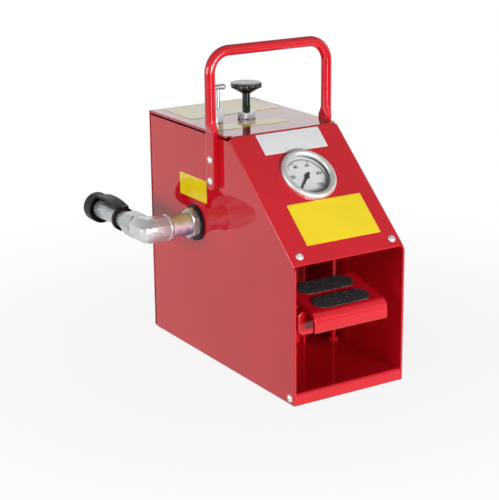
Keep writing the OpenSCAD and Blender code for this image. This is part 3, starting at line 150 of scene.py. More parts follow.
class StudioSetup(bpy.types.PropertyGroup):
    """Camera and light."""

    azimuth: FloatProperty(
        name="Azimuth", description="Camera's turn about the upright axis",
        subtype="ANGLE", default=math.radians(-31.83))
    elevation: FloatProperty(
        name="Elevation", description="Camera's height above the horizon",
        subtype="ANGLE", default=math.radians(16.89))
    roll: FloatProperty(
        name="Roll", description="Camera's turn about its own axis",
        subtype="ANGLE", default=math.radians(-0.57))
    distance: FloatProperty(
        name="Distance", description="From the camera to the point that it looks at",
        unit="LENGTH", default=1.7482)
    lens: FloatProperty(
        name="Lens", description="Focal length on a 36 mm sensor",
        unit="CAMERA", default=105.85)
    aim: FloatVectorProperty(
        name="Aim", description="Point that the camera looks at",
        subtype="XYZ", unit="LENGTH", size=3, default=(-0.031, 0.0001, 0.1337))
    key_power: FloatProperty(
        name="Key power", description="Power of the soft lamp in front",
        unit="POWER", default=50.0)
    strip_power: FloatProperty(
        name="Strip power", description="Power of the small low lamp that upright tubes mirror",
        unit="POWER", default=1.4)
    side_power: FloatProperty(
        name="Side power", description="Power of the lamp at the coupling's side",
        unit="POWER", default=27.0)
    rim_power: FloatProperty(
        name="Rim power", description="Power of the lamp behind the object",
        unit="POWER", default=3.6)
    ambient: FloatProperty(
        name="Ambient share", description="Share of the surround's light that matt surfaces take",
        default=0.25)
    overhead: FloatProperty(
        name="Overhead level", description="Brightness of the surround overhead",
        default=0.44)


GROUPS = {
    "valve_enamel": EnamelLook,
    "valve_plates": PlateSizes,
    "valve_dial": DialSizes,
    "valve_studio": StudioSetup,
}


def grey(level):
    """An opaque grey, or white at a level of 1."""
    return (level, level, level, 1.0)


class Shading:
    """A node tree, with the node chains that the finishes and the studio share."""

    def __init__(self, tree):
        self.tree = tree
        tree.nodes.clear()

    def node(self, kind, **inputs):
        made = self.tree.nodes.new(kind)
        for name, value in inputs.items():
            made.inputs[name.replace("_", " ")].default_value = value
        return made

    def link(self, source, target):
        self.tree.links.new(source, target)

    def maths(self, operation, first, second):
        made = self.node("ShaderNodeMath")
        made.operation = operation
        self.link(first, made.inputs[0])
        self.link(second, made.inputs[1])
        return made.outputs["Value"]

    def axis(self, vector, letter):
        """One coordinate of a vector."""
        made = self.node("ShaderNodeSeparateXYZ")
        self.link(vector, made.inputs["Vector"])
        return made.outputs[letter]

    def spread(self, value, low, high, start=0.3, stop=0.7):
        """Maps a stretch of a value, such as the middle of a noise, on to a wanted range."""
        made = self.node("ShaderNodeMapRange", From_Min=start, From_Max=stop, To_Min=low, To_Max=high)
        self.link(value, made.inputs["Value"])
        return made.outputs["Result"]

    def mix(self, share, first, second):
        """Two shaders, with the given share of the second."""
        made = self.node("ShaderNodeMixShader")
        self.link(share, made.inputs["Fac"])
        self.link(first, made.inputs[1])
        self.link(second, made.inputs[2])
        return made.outputs["Shader"]

    def seen_rays(self, path):
        """One for rays that show the surround itself: to the camera, in a mirror image or through glass."""
        shown = path.outputs["Is Camera Ray"]
        for kind in ("Is Glossy Ray", "Is Transmission Ray"):
            shown = self.maths("MAXIMUM", shown, path.outputs[kind])
        return shown


class Look(Shading):
    """One finish: a material with a principled shader."""

    EDGE_SAMPLES = 8

    def __init__(self, name):
        self.material = bpy.data.materials.new(name)
        self.material.use_nodes = True
        super().__init__(self.material.node_tree)
        out = self.node("ShaderNodeOutputMaterial")
        self.shader = self.node("ShaderNodeBsdfPrincipled")
        self.link(self.shader.outputs["BSDF"], out.inputs["Surface"])

    def set(self, **values):
        """Sets constant sockets of the shader."""
        for name, value in values.items():
            self.shader.inputs[name.replace("_", " ")].default_value = value

    def feed(self, name, source):
        self.link(source, self.shader.inputs[name])

    def coordinates(self, stretch=(1.0, 1.0, 1.0)):
        """Object coordinates, stretched."""
        place = self.node("ShaderNodeTexCoord")
        mapping = self.node("ShaderNodeMapping", Scale=stretch)
        self.link(place.outputs["Object"], mapping.inputs["Vector"])
        return mapping.outputs["Vector"]

    def noise(self, vector, scale, detail=3.0, rough=0.5):
        made = self.node("ShaderNodeTexNoise", Scale=scale, Detail=detail, Roughness=rough)
        self.link(vector, made.inputs["Vector"])
        return made.outputs["Fac"]

    def cells(self, vector, scale):
        made = self.node("ShaderNodeTexVoronoi", Scale=scale)
        self.link(vector, made.inputs["Vector"])
        return made.outputs["Distance"]

    def ramp(self, value, stops):
        """A colour for each value, from pairs of place and colour."""
        made = self.node("ShaderNodeValToRGB")
        band = made.color_ramp
        while len(band.elements) < len(stops):
            band.elements.new(0.5)
        for element, (place, colour) in zip(band.elements, stops):
            element.position = place
            element.color = (*colour, 1.0)
        self.link(value, made.inputs["Fac"])
        return made.outputs["Color"]

    def soft_edges(self, radius):
        """Normal that is rounded over sharp edges."""
        made = self.node("ShaderNodeBevel", Radius=radius)
        made.samples = self.EDGE_SAMPLES
        return made.outputs["Normal"]

    def relief(self, height, depth, strength=1.0, normal=None):
        made = self.node("ShaderNodeBump", Strength=strength, Distance=depth)
        self.link(height, made.inputs["Height"])
        if normal is not None:
            self.link(normal, made.inputs["Normal"])
        self.feed("Normal", made.outputs["Normal"])


def red_enamel():
    """Glossy enamel with a slow drift of colour and a faint orange peel."""
    paint = bpy.context.scene.valve_enamel
    handled = paint.gloss + 0.03
    look = Look("red_enamel")
    where = look.coordinates()
    drift = look.noise(where, scale=9.0, detail=2.0)
    look.feed("Base Color", look.ramp(drift, [(0.3, paint.deep_red), (0.7, paint.red)]))
    handling = look.noise(where, scale=38.0, detail=5.0, rough=0.6)
    look.feed("Roughness", look.spread(handling, paint.gloss, handled))
    look.set(IOR=1.5)
    peel = look.noise(where, scale=420.0, detail=1.0)
    look.relief(peel, depth=0.04 * MM, strength=0.1, normal=look.soft_edges(1.4 * MM))
    return look.material


def plated(name, bright, dull, rough, grain, stretch=(1.0, 1.0, 1.0), metal=1.0, relief=0.08):
    """Bare or plated metal with a drawn or turned grain and slow stains."""
    look = Look(name)
    stain = look.noise(look.coordinates(), scale=55.0, detail=4.0)
    look.feed("Base Color", look.ramp(stain, [(0.32, dull), (0.66, bright)]))
    look.set(Metallic=metal)
    lines = look.noise(look.coordinates(stretch), grain, detail=2.0)
    look.feed("Roughness", look.spread(lines, rough[0], rough[1]))
    look.relief(lines, depth=0.03 * MM, strength=relief, normal=look.soft_edges(0.35 * MM))
    return look.material


def zinc_plate():
    """Satin plate of the nuts and the coupling."""
    return plated("zinc_plate", bright=(0.52, 0.54, 0.55), dull=(0.42, 0.44, 0.46), rough=(0.2, 0.28),
                  grain=160.0, metal=0.6, relief=0.02)


def forged_zinc():
    """Brighter plate over a forging."""
    return plated("forged_zinc", bright=(0.66, 0.67, 0.67), dull=(0.58, 0.59, 0.6), rough=(0.2, 0.28),
                  grain=160.0, metal=0.6, relief=0.006)


def stainless():
    """Satin steel of the gauge's bezel."""
    return plated("stainless", bright=(0.78, 0.77, 0.75), dull=(0.68, 0.67, 0.66), rough=(0.3, 0.42),
                  grain=220.0, metal=0.75, relief=0.03)


def bright_steel():
    """Clean steel, drawn along X."""
    return plated("bright_steel", bright=(0.72, 0.72, 0.74), dull=(0.5, 0.5, 0.53), rough=(0.18, 0.32),
                  grain=260.0, stretch=(0.3, 1.0, 1.0))


def spring_steel():
    """Dark wire."""
    return plated("spring_steel", bright=(0.55, 0.55, 0.57), dull=(0.34, 0.34, 0.36), rough=(0.25, 0.4),
                  grain=300.0)


def machined_alloy():
    """Pale alloy with cutter lines along X."""
    return plated("machined_alloy", bright=(0.74, 0.75, 0.77), dull=(0.58, 0.59, 0.62), rough=(0.28, 0.42),
                  grain=340.0, stretch=(0.2, 1.0, 1.0))


def turned_brass():
    """Brass with an upright grain."""
    return plated("brass", bright=(0.78, 0.58, 0.25), dull=(0.52, 0.36, 0.13), rough=(0.2, 0.36),
                  grain=280.0, stretch=(1.0, 1.0, 0.3))


def yellow_zinc():
    """Iridescent plate with painted light: gold painted on the upper side of the pipe, a painted highlight band
    along its middle, violet below, darkening to painted shade at the bottom.
    """
    # The plate's own iridescent tints, set by height across the pipe to paint its light: painted shade at the
    # bottom, violet reflection below, a painted highlight band above the middle and gold reflection on top
    painted_light_bands = [(0.05, (0.2, 0.11, 0.18)), (0.28, (0.44, 0.3, 0.5)), (0.48, (0.88, 0.84, 0.92)),
             (0.62, (0.78, 0.75, 0.7)), (0.75, (0.6, 0.53, 0.32)), (0.95, (0.5, 0.44, 0.28))]
    look = Look("yellow_zinc")
    where = look.coordinates()
    height = look.spread(look.axis(where, "Z"), 0.0, 1.0, PIPE_LOW.z, PIPE_HIGH.z)
    drift = look.spread(look.noise(where, scale=60.0), -0.14, 0.14)
    look.feed("Base Color", look.ramp(look.maths("ADD", height, drift), painted_light_bands))
    look.set(Metallic=0.15)
    lines = look.noise(look.coordinates((0.15, 1.0, 1.0)), scale=320.0)
    look.feed("Roughness", look.spread(lines, 0.16, 0.28))
    look.relief(lines, depth=0.02 * MM, strength=0.3)
    return look.material


def black_rubber():
    """Dull black with a faint bloom."""
    deep, bloomed = (0.006, 0.006, 0.007), (0.018, 0.018, 0.02)
    look = Look("black_rubber")
    where = look.coordinates()
    bloom = look.noise(where, scale=45.0, detail=4.0)
    look.feed("Base Color", look.ramp(bloom, [(0.35, deep), (0.75, bloomed)]))
    look.feed("Roughness", look.spread(bloom, 0.34, 0.5))
    look.set(IOR=1.26)
    skin = look.noise(where, scale=900.0, detail=2.0)
    look.relief(skin, depth=0.05 * MM, strength=0.4, normal=look.soft_edges(0.7 * MM))
    return look.material


def grit_coat():
    """Black anti-slip coat with pale grains."""
    bed, slope, crest = (0.004, 0.004, 0.005), (0.016, 0.017, 0.019), (0.15, 0.155, 0.16)
    look = Look("grit_coat")
    where = look.coordinates()
    grain = look.noise(where, scale=620.0, rough=0.7)
    look.feed("Base Color", look.ramp(grain, [(0.44, bed), (0.55, slope), (0.66, crest)]))
    look.feed("Roughness", look.spread(grain, 0.95, 0.6))
    look.relief(look.cells(where, scale=800.0), depth=0.3 * MM, strength=0.8)
    return look.material


def black_plastic():
    """Glossy moulding of the knob."""
    deep, pale = (0.006, 0.006, 0.007), (0.014, 0.014, 0.016)
    look = Look("black_plastic")
    where = look.coordinates()
    flow = look.noise(where, scale=70.0, detail=2.0)
    look.feed("Base Color", look.ramp(flow, [(0.3, deep), (0.7, pale)]))
    look.feed("Roughness", look.spread(flow, 0.06, 0.14))
    skin = look.noise(where, scale=500.0, detail=1.0)
    look.relief(skin, depth=0.03 * MM, strength=0.2, normal=look.soft_edges(0.8 * MM))
    return look.material


def black_case():
    """Satin lacquer with fine specks."""
    deep, pale = (0.012, 0.012, 0.013), (0.03, 0.03, 0.032)
    look = Look("black_case")
    specks = look.noise(look.coordinates(), scale=300.0)
    look.feed("Base Color", look.ramp(specks, [(0.3, deep), (0.7, pale)]))
    look.feed("Roughness", look.spread(specks, 0.3, 0.45))
    look.relief(specks, depth=0.04 * MM, strength=0.3, normal=look.soft_edges(0.4 * MM))
    return look.material


def clear_lens():
    """Thin clear window: mostly see-through, with its gloss kept."""
    look = Look("clear_lens")
    haze = look.noise(look.coordinates(), scale=30.0, detail=2.0)
    look.feed("Roughness", look.spread(haze, 0.02, 0.06))
    look.set(Base_Color=(0.2, 0.21, 0.22, 1.0), Alpha=0.06, IOR=1.52)
    return look.material


def white_dial():
    """Matt white of the dial."""
    shade, clean = (0.86, 0.88, 0.9), (0.93, 0.94, 0.95)
    look = Look("white_dial")
    where = look.coordinates()
    paper = look.noise(where, scale=120.0, detail=4.0)
    look.feed("Base Color", look.ramp(paper, [(0.3, shade), (0.7, clean)]))
    look.feed("Roughness", look.spread(paper, 0.35, 0.5))
    look.relief(look.noise(where, scale=1500.0, detail=1.0), depth=0.01 * MM, strength=0.2)
    return look.material


def black_ink():
    """Matt black of the pointer and the scale."""
    deep, thin = (0.006, 0.006, 0.006), (0.02, 0.02, 0.02)
    look = Look("black_ink")
    cover = look.noise(look.coordinates(), scale=600.0, detail=2.0)
    look.feed("Base Color", look.ramp(cover, [(0.3, deep), (0.75, thin)]))
    look.feed("Roughness", look.spread(cover, 0.4, 0.6))
    return look.material


def film(name, shade, clean):
    """Glossy film of a bare plate."""
    look = Look(name)
    where = look.coordinates()
    fade = look.noise(where, scale=30.0)
    look.feed("Base Color", look.ramp(fade, [(0.3, shade), (0.7, clean)]))
    look.feed("Roughness", look.spread(look.noise(where, scale=200.0), 0.04, 0.1))
    look.relief(look.noise(where, scale=180.0, detail=2.0), depth=0.04 * MM, strength=0.08)
    return look.material


def yellow_film():
    """Yellow of the plates, a little darker where it has faded."""
    faded = 0.94
    yellow = bpy.context.scene.valve_enamel.yellow
    return film("yellow_film", [faded * channel for channel in yellow], yellow)


def white_film():
    """White of the plate above the gauge."""
    return film("white_film", (0.74, 0.75, 0.77), (0.8, 0.81, 0.82))


FINISHES = {
    "red_enamel": red_enamel,
    "zinc_plate": zinc_plate,
    "forged_zinc": forged_zinc,
    "yellow_plate": yellow_zinc,
    "stainless": stainless,
    "bright_steel": bright_steel,
    "spring_steel": spring_steel,
    "machined_alloy": machined_alloy,
    "brass": turned_brass,
    "black_rubber": black_rubber,
    "grit": grit_coat,
    "black_plastic": black_plastic,
    "black_case": black_case,
    "clear_lens": clear_lens,
    "white_dial": white_dial,
    "black_pointer": black_ink,
    "yellow_film": yellow_film,
    "white_film": white_film,
}
made_finishes = {}


def finish(slot):
    """The slot's material, made once."""
    if slot not in made_finishes:
        made_finishes[slot] = FINISHES[slot]()
    return made_finishes[slot]


def deselect():
    """Leaves edit mode with nothing selected."""
    if bpy.context.mode != "OBJECT":
        bpy.ops.object.mode_set(mode="OBJECT")
    bpy.ops.object.select_all(action="DESELECT")


def only(obj):
    """Selects one object alone and makes it the active one."""
    deselect()
    obj.select_set(True)
    bpy.context.view_layer.objects.active = obj


def fresh(name):
    """The primitive that was just added, under its own name."""
    obj = bpy.context.active_object
    obj.name = name
    obj.data.name = name
    return obj


def edit(obj):
    """Enters edit mode with the whole mesh selected."""
    only(obj)
    bpy.ops.object.mode_set(mode="EDIT")
    bpy.ops.mesh.select_all(action="SELECT")


def leave_edit():
    bpy.ops.object.mode_set(mode="OBJECT")


def pick(obj, test):
    """Enters edit mode with only those points selected whose place passes the test."""
    edit(obj)
    bpy.ops.mesh.select_all(action="DESELECT")
    leave_edit()
    for vertex in obj.data.vertices:
        vertex.select = test(vertex.co)
    bpy.ops.object.mode_set(mode="EDIT")


def apply_place():
    """Puts the selected objects' places into their meshes."""
    bpy.ops.object.transform_apply(location=True, rotation=True, scale=True)


def modify(obj, kind, **values):
    """Adds a modifier and applies it."""
    only(obj)
    step = obj.modifiers.new(kind.title(), kind)
    for name, value in values.items():
        setattr(step, name, value)
    bpy.ops.object.modifier_apply(modifier=step.name)


def ease(obj, width, segments, angle=30.0):
    """Bevels the edges that are sharper than an angle in degrees."""
    modify(obj, "BEVEL", width=width, segments=segments, limit_method="ANGLE",
           angle_limit=math.radians(angle))


def settle(obj, place):
    """Moves an object to its place and puts the place into its mesh."""
    obj.matrix_world = place @ obj.matrix_world
    only(obj)
    apply_place()


def mend(obj):
    """Merges doubles, closes holes and turns the faces outwards."""
    edit(obj)
    bpy.ops.mesh.remove_doubles(threshold=MERGE_GAP)
    bpy.ops.mesh.fill_holes(sides=0)
    bpy.ops.mesh.select_all(action="SELECT")
    bpy.ops.mesh.normals_make_consistent(inside=False)
    leave_edit()


def smooth(obj, angle=35.0):
    """Shades smooth across edges that are flatter than an angle in degrees."""
    only(obj)
    bpy.ops.object.shade_smooth_by_angle(angle=math.radians(angle))


def dress(obj, slot, body, look=None):
    """Gives a new piece the finish of its slot, or of the look when one is given, and the body that it rides on,
    if any.
    """
    obj.data.materials.clear()
    obj.data.materials.append(finish(look or slot))
    if body is not None:
        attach(obj, body)


def joined(parts, name):
    """One object from several."""
    deselect()
    for part in parts:
        part.select_set(True)
    bpy.context.view_layer.objects.active = parts[0]
    bpy.ops.object.join()
    obj = fresh(name)
    only(obj)
    apply_place()
    return obj


def combine(obj, other, how):
    """Adds or takes away another solid, which is used up."""
    modify(obj, "BOOLEAN", object=other, operation=how, solver="EXACT")
    bpy.data.objects.remove(other)


def node_copy(node, name):
    """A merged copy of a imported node, to be shaped further."""
    obj = bpy.data.objects.new(name, NODES[node].data.copy())
    obj.data.name = name
    bpy.context.scene.collection.objects.link(obj)
    edit(obj)
    bpy.ops.mesh.remove_doubles(threshold=MERGE_GAP)
    leave_edit()
    return obj


def slab(name, width, length, thickness, centre_y=0.0, corner=0.0):
    """Thin slab on the XY plane, with round corners where a radius is given."""
    deselect()
    bpy.ops.mesh.primitive_plane_add(size=1.0)
    obj = fresh(name)
    edit(obj)
    bpy.ops.transform.resize(value=(width, length, 1.0))
    if corner:
        bpy.ops.mesh.bevel(affect="VERTICES", offset=corner, segments=5)
        bpy.ops.mesh.select_all(action="SELECT")
    bpy.ops.transform.translate(value=(0.0, centre_y, 0.0))
    bpy.ops.mesh.extrude_region_move(TRANSFORM_OT_translate={"value": (0.0, 0.0, thickness)})
    leave_edit()
    mend(obj)
    return obj


def wound(name, sides, wire_r, mean_r, height, turns):
    """A round or pointed wire wound up the Z axis from z = 0 to the height."""
    steps = 36
    deselect()
    bpy.ops.mesh.primitive_circle_add(
        vertices=sides, radius=wire_r, location=(mean_r, 0.0, wire_r), rotation=(QUARTER, 0.0, 0.0))
    wire = fresh(name)
    apply_place()
    modify(wire, "SCREW", axis="Z", steps=steps, render_steps=steps, iterations=turns,
           screw_offset=(height - 2 * wire_r) / turns, use_merge_vertices=False)
    mend(wire)
    return wire


def turned_ring(name, inner, outer, low, high, sweep=360.0):
    """A ring of square section about the Z axis, or part of one from the X axis on."""
    steps = 48
    middle = (0.5 * (inner + outer), 0.0, 0.5 * (low + high))
    deselect()
    bpy.ops.mesh.primitive_plane_add(size=1.0, location=middle, rotation=(QUARTER, 0.0, 0.0))
    ring = fresh(name)
    ring.scale = (outer - inner, high - low, 1.0)
    apply_place()
    edit(ring)
    bpy.ops.mesh.delete(type="ONLY_FACE")
    leave_edit()
    modify(ring, "SCREW", axis="Z", steps=steps, render_steps=steps, screw_offset=0.0,
           angle=math.radians(sweep), use_merge_vertices=True)
    mend(ring)
    return ring


def turned_bar(name, sides, radius, start, stop, ends="NGON"):
    """A bar between two points on one of the frame's axes, with flats square to the axes."""
    run = stop - start
    deselect()
    bpy.ops.mesh.primitive_cylinder_add(
        vertices=sides, radius=radius, depth=run.length, end_fill_type=ends,
        rotation=(0.0, 0.0, math.pi / sides))
    bar = fresh(name)
    apply_place()
    settle(bar, Matrix.Translation(0.5 * (start + stop)) @ run.to_track_quat("Z", "Y").to_matrix().to_4x4())
    return bar


def slope_frame(across, along, lift=0.0):
    """Place on the slope, measured from the gauge's centre: across, up the slope and off it."""
    turn = Matrix.Rotation(SLOPE_ANGLE, 4, "X")
    return Matrix.Translation(GAUGE_CENTRE) @ turn @ Matrix.Translation((across, along, lift))


class VALVE_OT_finish_nodes(bpy.types.Operator):
    """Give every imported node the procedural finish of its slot"""

    bl_idname = "valve.finish_nodes"
    bl_label = "Finish the packed pieces"

    def execute(self, context):
        for entry in frame["record"]["subparts"]:
            node = NODES[entry["node"]]
            for slot in node.material_slots:
                slot.material = finish(entry["material_slot"])
        return {"FINISHED"}


class VALVE_OT_bare_plates(bpy.types.Operator):
    """Lay the bare yellow and white plates on the slope, the wall and the top"""

    bl_idname = "valve.bare_plates"
    bl_label = "Bare plates"

    # Share of the thickness that the eased edges take
    EASED = 0.3
    # Across and up the slope, from the gauge's centre
    SLOPE_PLACE = (3 * MM, -62.5 * MM)
    HEAD_PLACE = (2 * MM, 49 * MM)
    # Behind the front edge and above the ground
    WALL_PLACE = (216.5 * MM, 205.5 * MM)
    # Behind the front edge and across from the middle
    TOP_PLACE = (281 * MM, 3 * MM)
    STRIP_PLACE = (183 * MM, -16 * MM)

    def on_wall(self, behind, height):
        """Upright place on the outlet's wall."""
        turn = Matrix.Rotation(-QUARTER, 4, "Y") @ Matrix.Rotation(-QUARTER, 4, "Z")
        return Matrix.Translation((SHELL_LOW.x, SHELL_LOW.y + behind, height)) @ turn

    def on_top(self, behind, across):
        """Place on the top."""
        return Matrix.Translation((across, SHELL_LOW.y + behind, SHELL_HIGH.z))

    def execute(self, context):
        sizes = context.scene.valve_plates
        plates = [
            ("slope_plate", "yellow_film", sizes.slope_size, slope_frame(*self.SLOPE_PLACE)),
            ("head_plate", "white_film", sizes.head_size, slope_frame(*self.HEAD_PLACE)),
            ("wall_plate", "yellow_film", sizes.wall_size, self.on_wall(*self.WALL_PLACE)),
            ("top_plate", "yellow_film", sizes.top_size, self.on_top(*self.TOP_PLACE)),
            ("top_strip", "yellow_film", sizes.strip_size, self.on_top(*self.STRIP_PLACE)),
        ]
        for name, look, (width, length), place in plates:
            plate = slab(name, width, length, sizes.thickness, corner=sizes.corner)
            ease(plate, width=self.EASED * sizes.thickness, segments=2)
            settle(plate, place)
            dress(plate, look, "housing")
        return {"FINISHED"}


class VALVE_OT_dial_marks(bpy.types.Operator):
    """Print the gauge's scale and figures"""

    bl_idname = "valve.dial_marks"
    bl_label = "Dial marks"

    # Degrees from upright to zero, and from zero to the full scale
    START = 135.0
    SWEEP = 270.0
    DIAL_LIFT = -4.3 * MM
    ARC = 0.7 * MM
    # Width and length of the marks
    TICKS = {
        "fine": (0.4 * MM, 2.4 * MM),
        "half": (0.6 * MM, 3.4 * MM),
        "full": (1.0 * MM, 4.6 * MM),
    }
    STEPS = 50
    HALF_STEPS = 5
    FULL_STEPS = 10
    FULL_SCALE = 100
    FIGURE_STEP = 20

    def turn(self, count, total):
        """Turn from upright of a place on the scale."""
        return math.radians(self.START - self.SWEEP * count / total)

    def kind(self, step):
        """Which of the three marks a step of the scale has."""
        if step % self.FULL_STEPS == 0:
            return "full"
        return "fine" if step % self.HALF_STEPS else "half"

    def marks(self, dial):
        """All marks, each a copy of one of three upright ones."""
        patterns = {}
        for kind, (width, length) in self.TICKS.items():
            patterns[kind] = slab("mark", width, length, dial.ink, centre_y=dial.outer - 0.5 * length)
        made = []
        for step in range(self.STEPS + 1):
            only(patterns[self.kind(step)])
            bpy.ops.object.duplicate(linked=False)
            mark = bpy.context.active_object
            mark.rotation_euler.z = self.turn(step, self.STEPS)
            made.append(mark)
        for pattern in patterns.values():
            bpy.data.objects.remove(pattern)
        return made

    def arc(self, dial):
        """The line round the scale, open at the bottom."""
        ring = turned_ring("scale_arc", dial.outer - self.ARC, dial.outer, 0.0, dial.ink, self.SWEEP)
        ring.rotation_euler.z = QUARTER - math.radians(self.START)
        return ring

    def figure(self, value, dial):
        """One upright figure as a mesh."""
        angle = self.turn(value, self.FULL_SCALE)
        deselect()
        bpy.ops.object.text_add(location=(
            -dial.figure_radius * math.sin(angle), dial.figure_radius * math.cos(angle), 0.5 * dial.ink))
        text = bpy.context.active_object
        text.data.body = str(value)
        text.data.size = dial.figure_size
        text.data.extrude = 0.5 * dial.ink
        text.data.offset = dial.stroke
        text.data.align_x = "CENTER"
        text.data.align_y = "CENTER"
        bpy.ops.object.convert(target="MESH")
        return bpy.context.active_object

    def execute(self, context):
        dial = context.scene.valve_dial
        parts = self.marks(dial)
        parts.append(self.arc(dial))
        for value in range(0, self.FULL_SCALE + 1, self.FIGURE_STEP):
            parts.append(self.figure(value, dial))
        marks = joined(parts, "dial_marks")
        settle(marks, slope_frame(0.0, 0.0, self.DIAL_LIFT))
        dress(marks, "black_pointer", "housing")
        return {"FINISHED"}


class VALVE_OT_grit_pads(bpy.types.Operator):
    """Roughen the pedal's two grit pads"""

    bl_idname = "valve.grit_pads"
    bl_label = "Grit pads"

    VOXEL = 0.55 * MM
    GRAIN = 1.3 * MM
    HEIGHT = 0.5 * MM

    def execute(self, context):
        pads = node_copy("grip_pads", "grit_pads")
        modify(pads, "REMESH", mode="VOXEL", voxel_size=self.VOXEL)
        grain = bpy.data.textures.new("grit_grain", "CLOUDS")
        grain.noise_scale = self.GRAIN
        grain.noise_depth = 2
        modify(pads, "DISPLACE", texture=grain, texture_coords="LOCAL", strength=self.HEIGHT, mid_level=0.5)
        smooth(pads, angle=60.0)
        dress(pads, "grit", "pedal")
        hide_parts("grip_pads")
        return {"FINISHED"}


class VALVE_OT_lever_nose(bpy.types.Operator):
    """Carry the lever arm's front end forward to just behind the pedal's lip, and ease its edges"""

    bl_idname = "valve.lever_nose"
    bl_label = "Lever nose"

    REACH = 10 * MM
    EASED = 1.2 * MM
    END_BAND = 1 * MM

    def execute(self, context):
        arm = node_copy("pedal_arm", "lever_arm")
        front = corners("pedal_arm")[0].y
        pick(arm, lambda place: place.y < front + self.END_BAND)
        bpy.ops.transform.translate(value=(0.0, -self.REACH, 0.0))
        leave_edit()
        ease(arm, width=self.EASED, segments=3, angle=40.0)
        smooth(arm)
        dress(arm, "red_enamel", "pedal")
        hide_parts("pedal_arm")
        return {"FINISHED"}


class VALVE_OT_flat_knob(bpy.types.Operator):
    """Flatten the crown of the regulator's knob"""

    bl_idname = "valve.flat_knob"
    bl_label = "Flat knob"

    # Height of the shoulder, and the share of the crown above it that stays
    SHOULDER = 12.6 * MM
    CROWN = 0.25

    def execute(self, context):
        knob = node_copy("regulator_knob", "lobed_knob")
        shoulder = corners("regulator_knob")[0].z + self.SHOULDER
        pick(knob, lambda place: place.z > shoulder)
        bpy.ops.transform.resize(value=(1.0, 1.0, self.CROWN), center_override=(0.0, 0.0, shoulder))
        leave_edit()
        smooth(knob)
        dress(knob, "black_plastic", "regulator")
        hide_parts("regulator_knob")
        return {"FINISHED"}


class VALVE_OT_springs(bpy.types.Operator):
    """Wind the spool's and the check valve's springs"""

    bl_idname = "valve.springs"
    bl_label = "Springs"

    # Wires, coil and bore are radii
    RETURN_WIRE = 1.1 * MM
    RETURN_TURNS = 4
    CHECK_WIRE = 0.6 * MM
    CHECK_COIL = 4.8 * MM
    CHECK_TURNS = 6
    SEAT_BORE = 4.0 * MM
    SEAT_WIDTH = 3 * MM

    def return_spring(self):
        """The spring between the spool and the housing."""
        low, high = corners("return_spring")
        axis_x = 0.5 * (low.x + high.x)
        axis_y = 0.5 * (low.y + high.y)
        coil_r = 0.5 * (high.x - low.x) - self.RETURN_WIRE
        spring = wound("return_spring_coil", sides=14, wire_r=self.RETURN_WIRE, mean_r=coil_r,
                       height=high.z - low.z, turns=self.RETURN_TURNS)
        settle(spring, Matrix.Translation((axis_x, axis_y, low.z)))
        smooth(spring, angle=60.0)
        dress(spring, "spring_steel", None)
        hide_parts("return_spring")
        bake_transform(spring)

    def check_spring(self):
        """The spring between the coupling's seat ring and the poppet, with that ring."""
        low, high = corners("check_spring")
        poppet_low = corners("check_poppet")[0]
        axis_x = 0.5 * (low.x + high.x)
        axis_z = 0.5 * (low.z + high.z)
        seat_y = low.y + self.SEAT_WIDTH
        lying = Matrix.Rotation(-QUARTER, 4, "X")
        coil = wound("check_spring_coil", sides=12, wire_r=self.CHECK_WIRE, mean_r=self.CHECK_COIL,
                     height=poppet_low.y - seat_y, turns=self.CHECK_TURNS)
        settle(coil, lying)
        settle(coil, Matrix.Translation((axis_x, seat_y, axis_z)))
        ring = turned_ring("check_seat", self.SEAT_BORE, 0.5 * (high.x - low.x), low.y, seat_y)
        settle(ring, Matrix.Translation((axis_x, 0.0, axis_z)) @ lying)
        spring = joined([coil, ring], "check_spring_coil")
        smooth(spring, angle=40.0)
        dress(spring, "spring_steel", None)
        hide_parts("check_spring")
        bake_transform(spring)

    def execute(self, context):
        self.return_spring()
        self.check_spring()
        return {"FINISHED"}


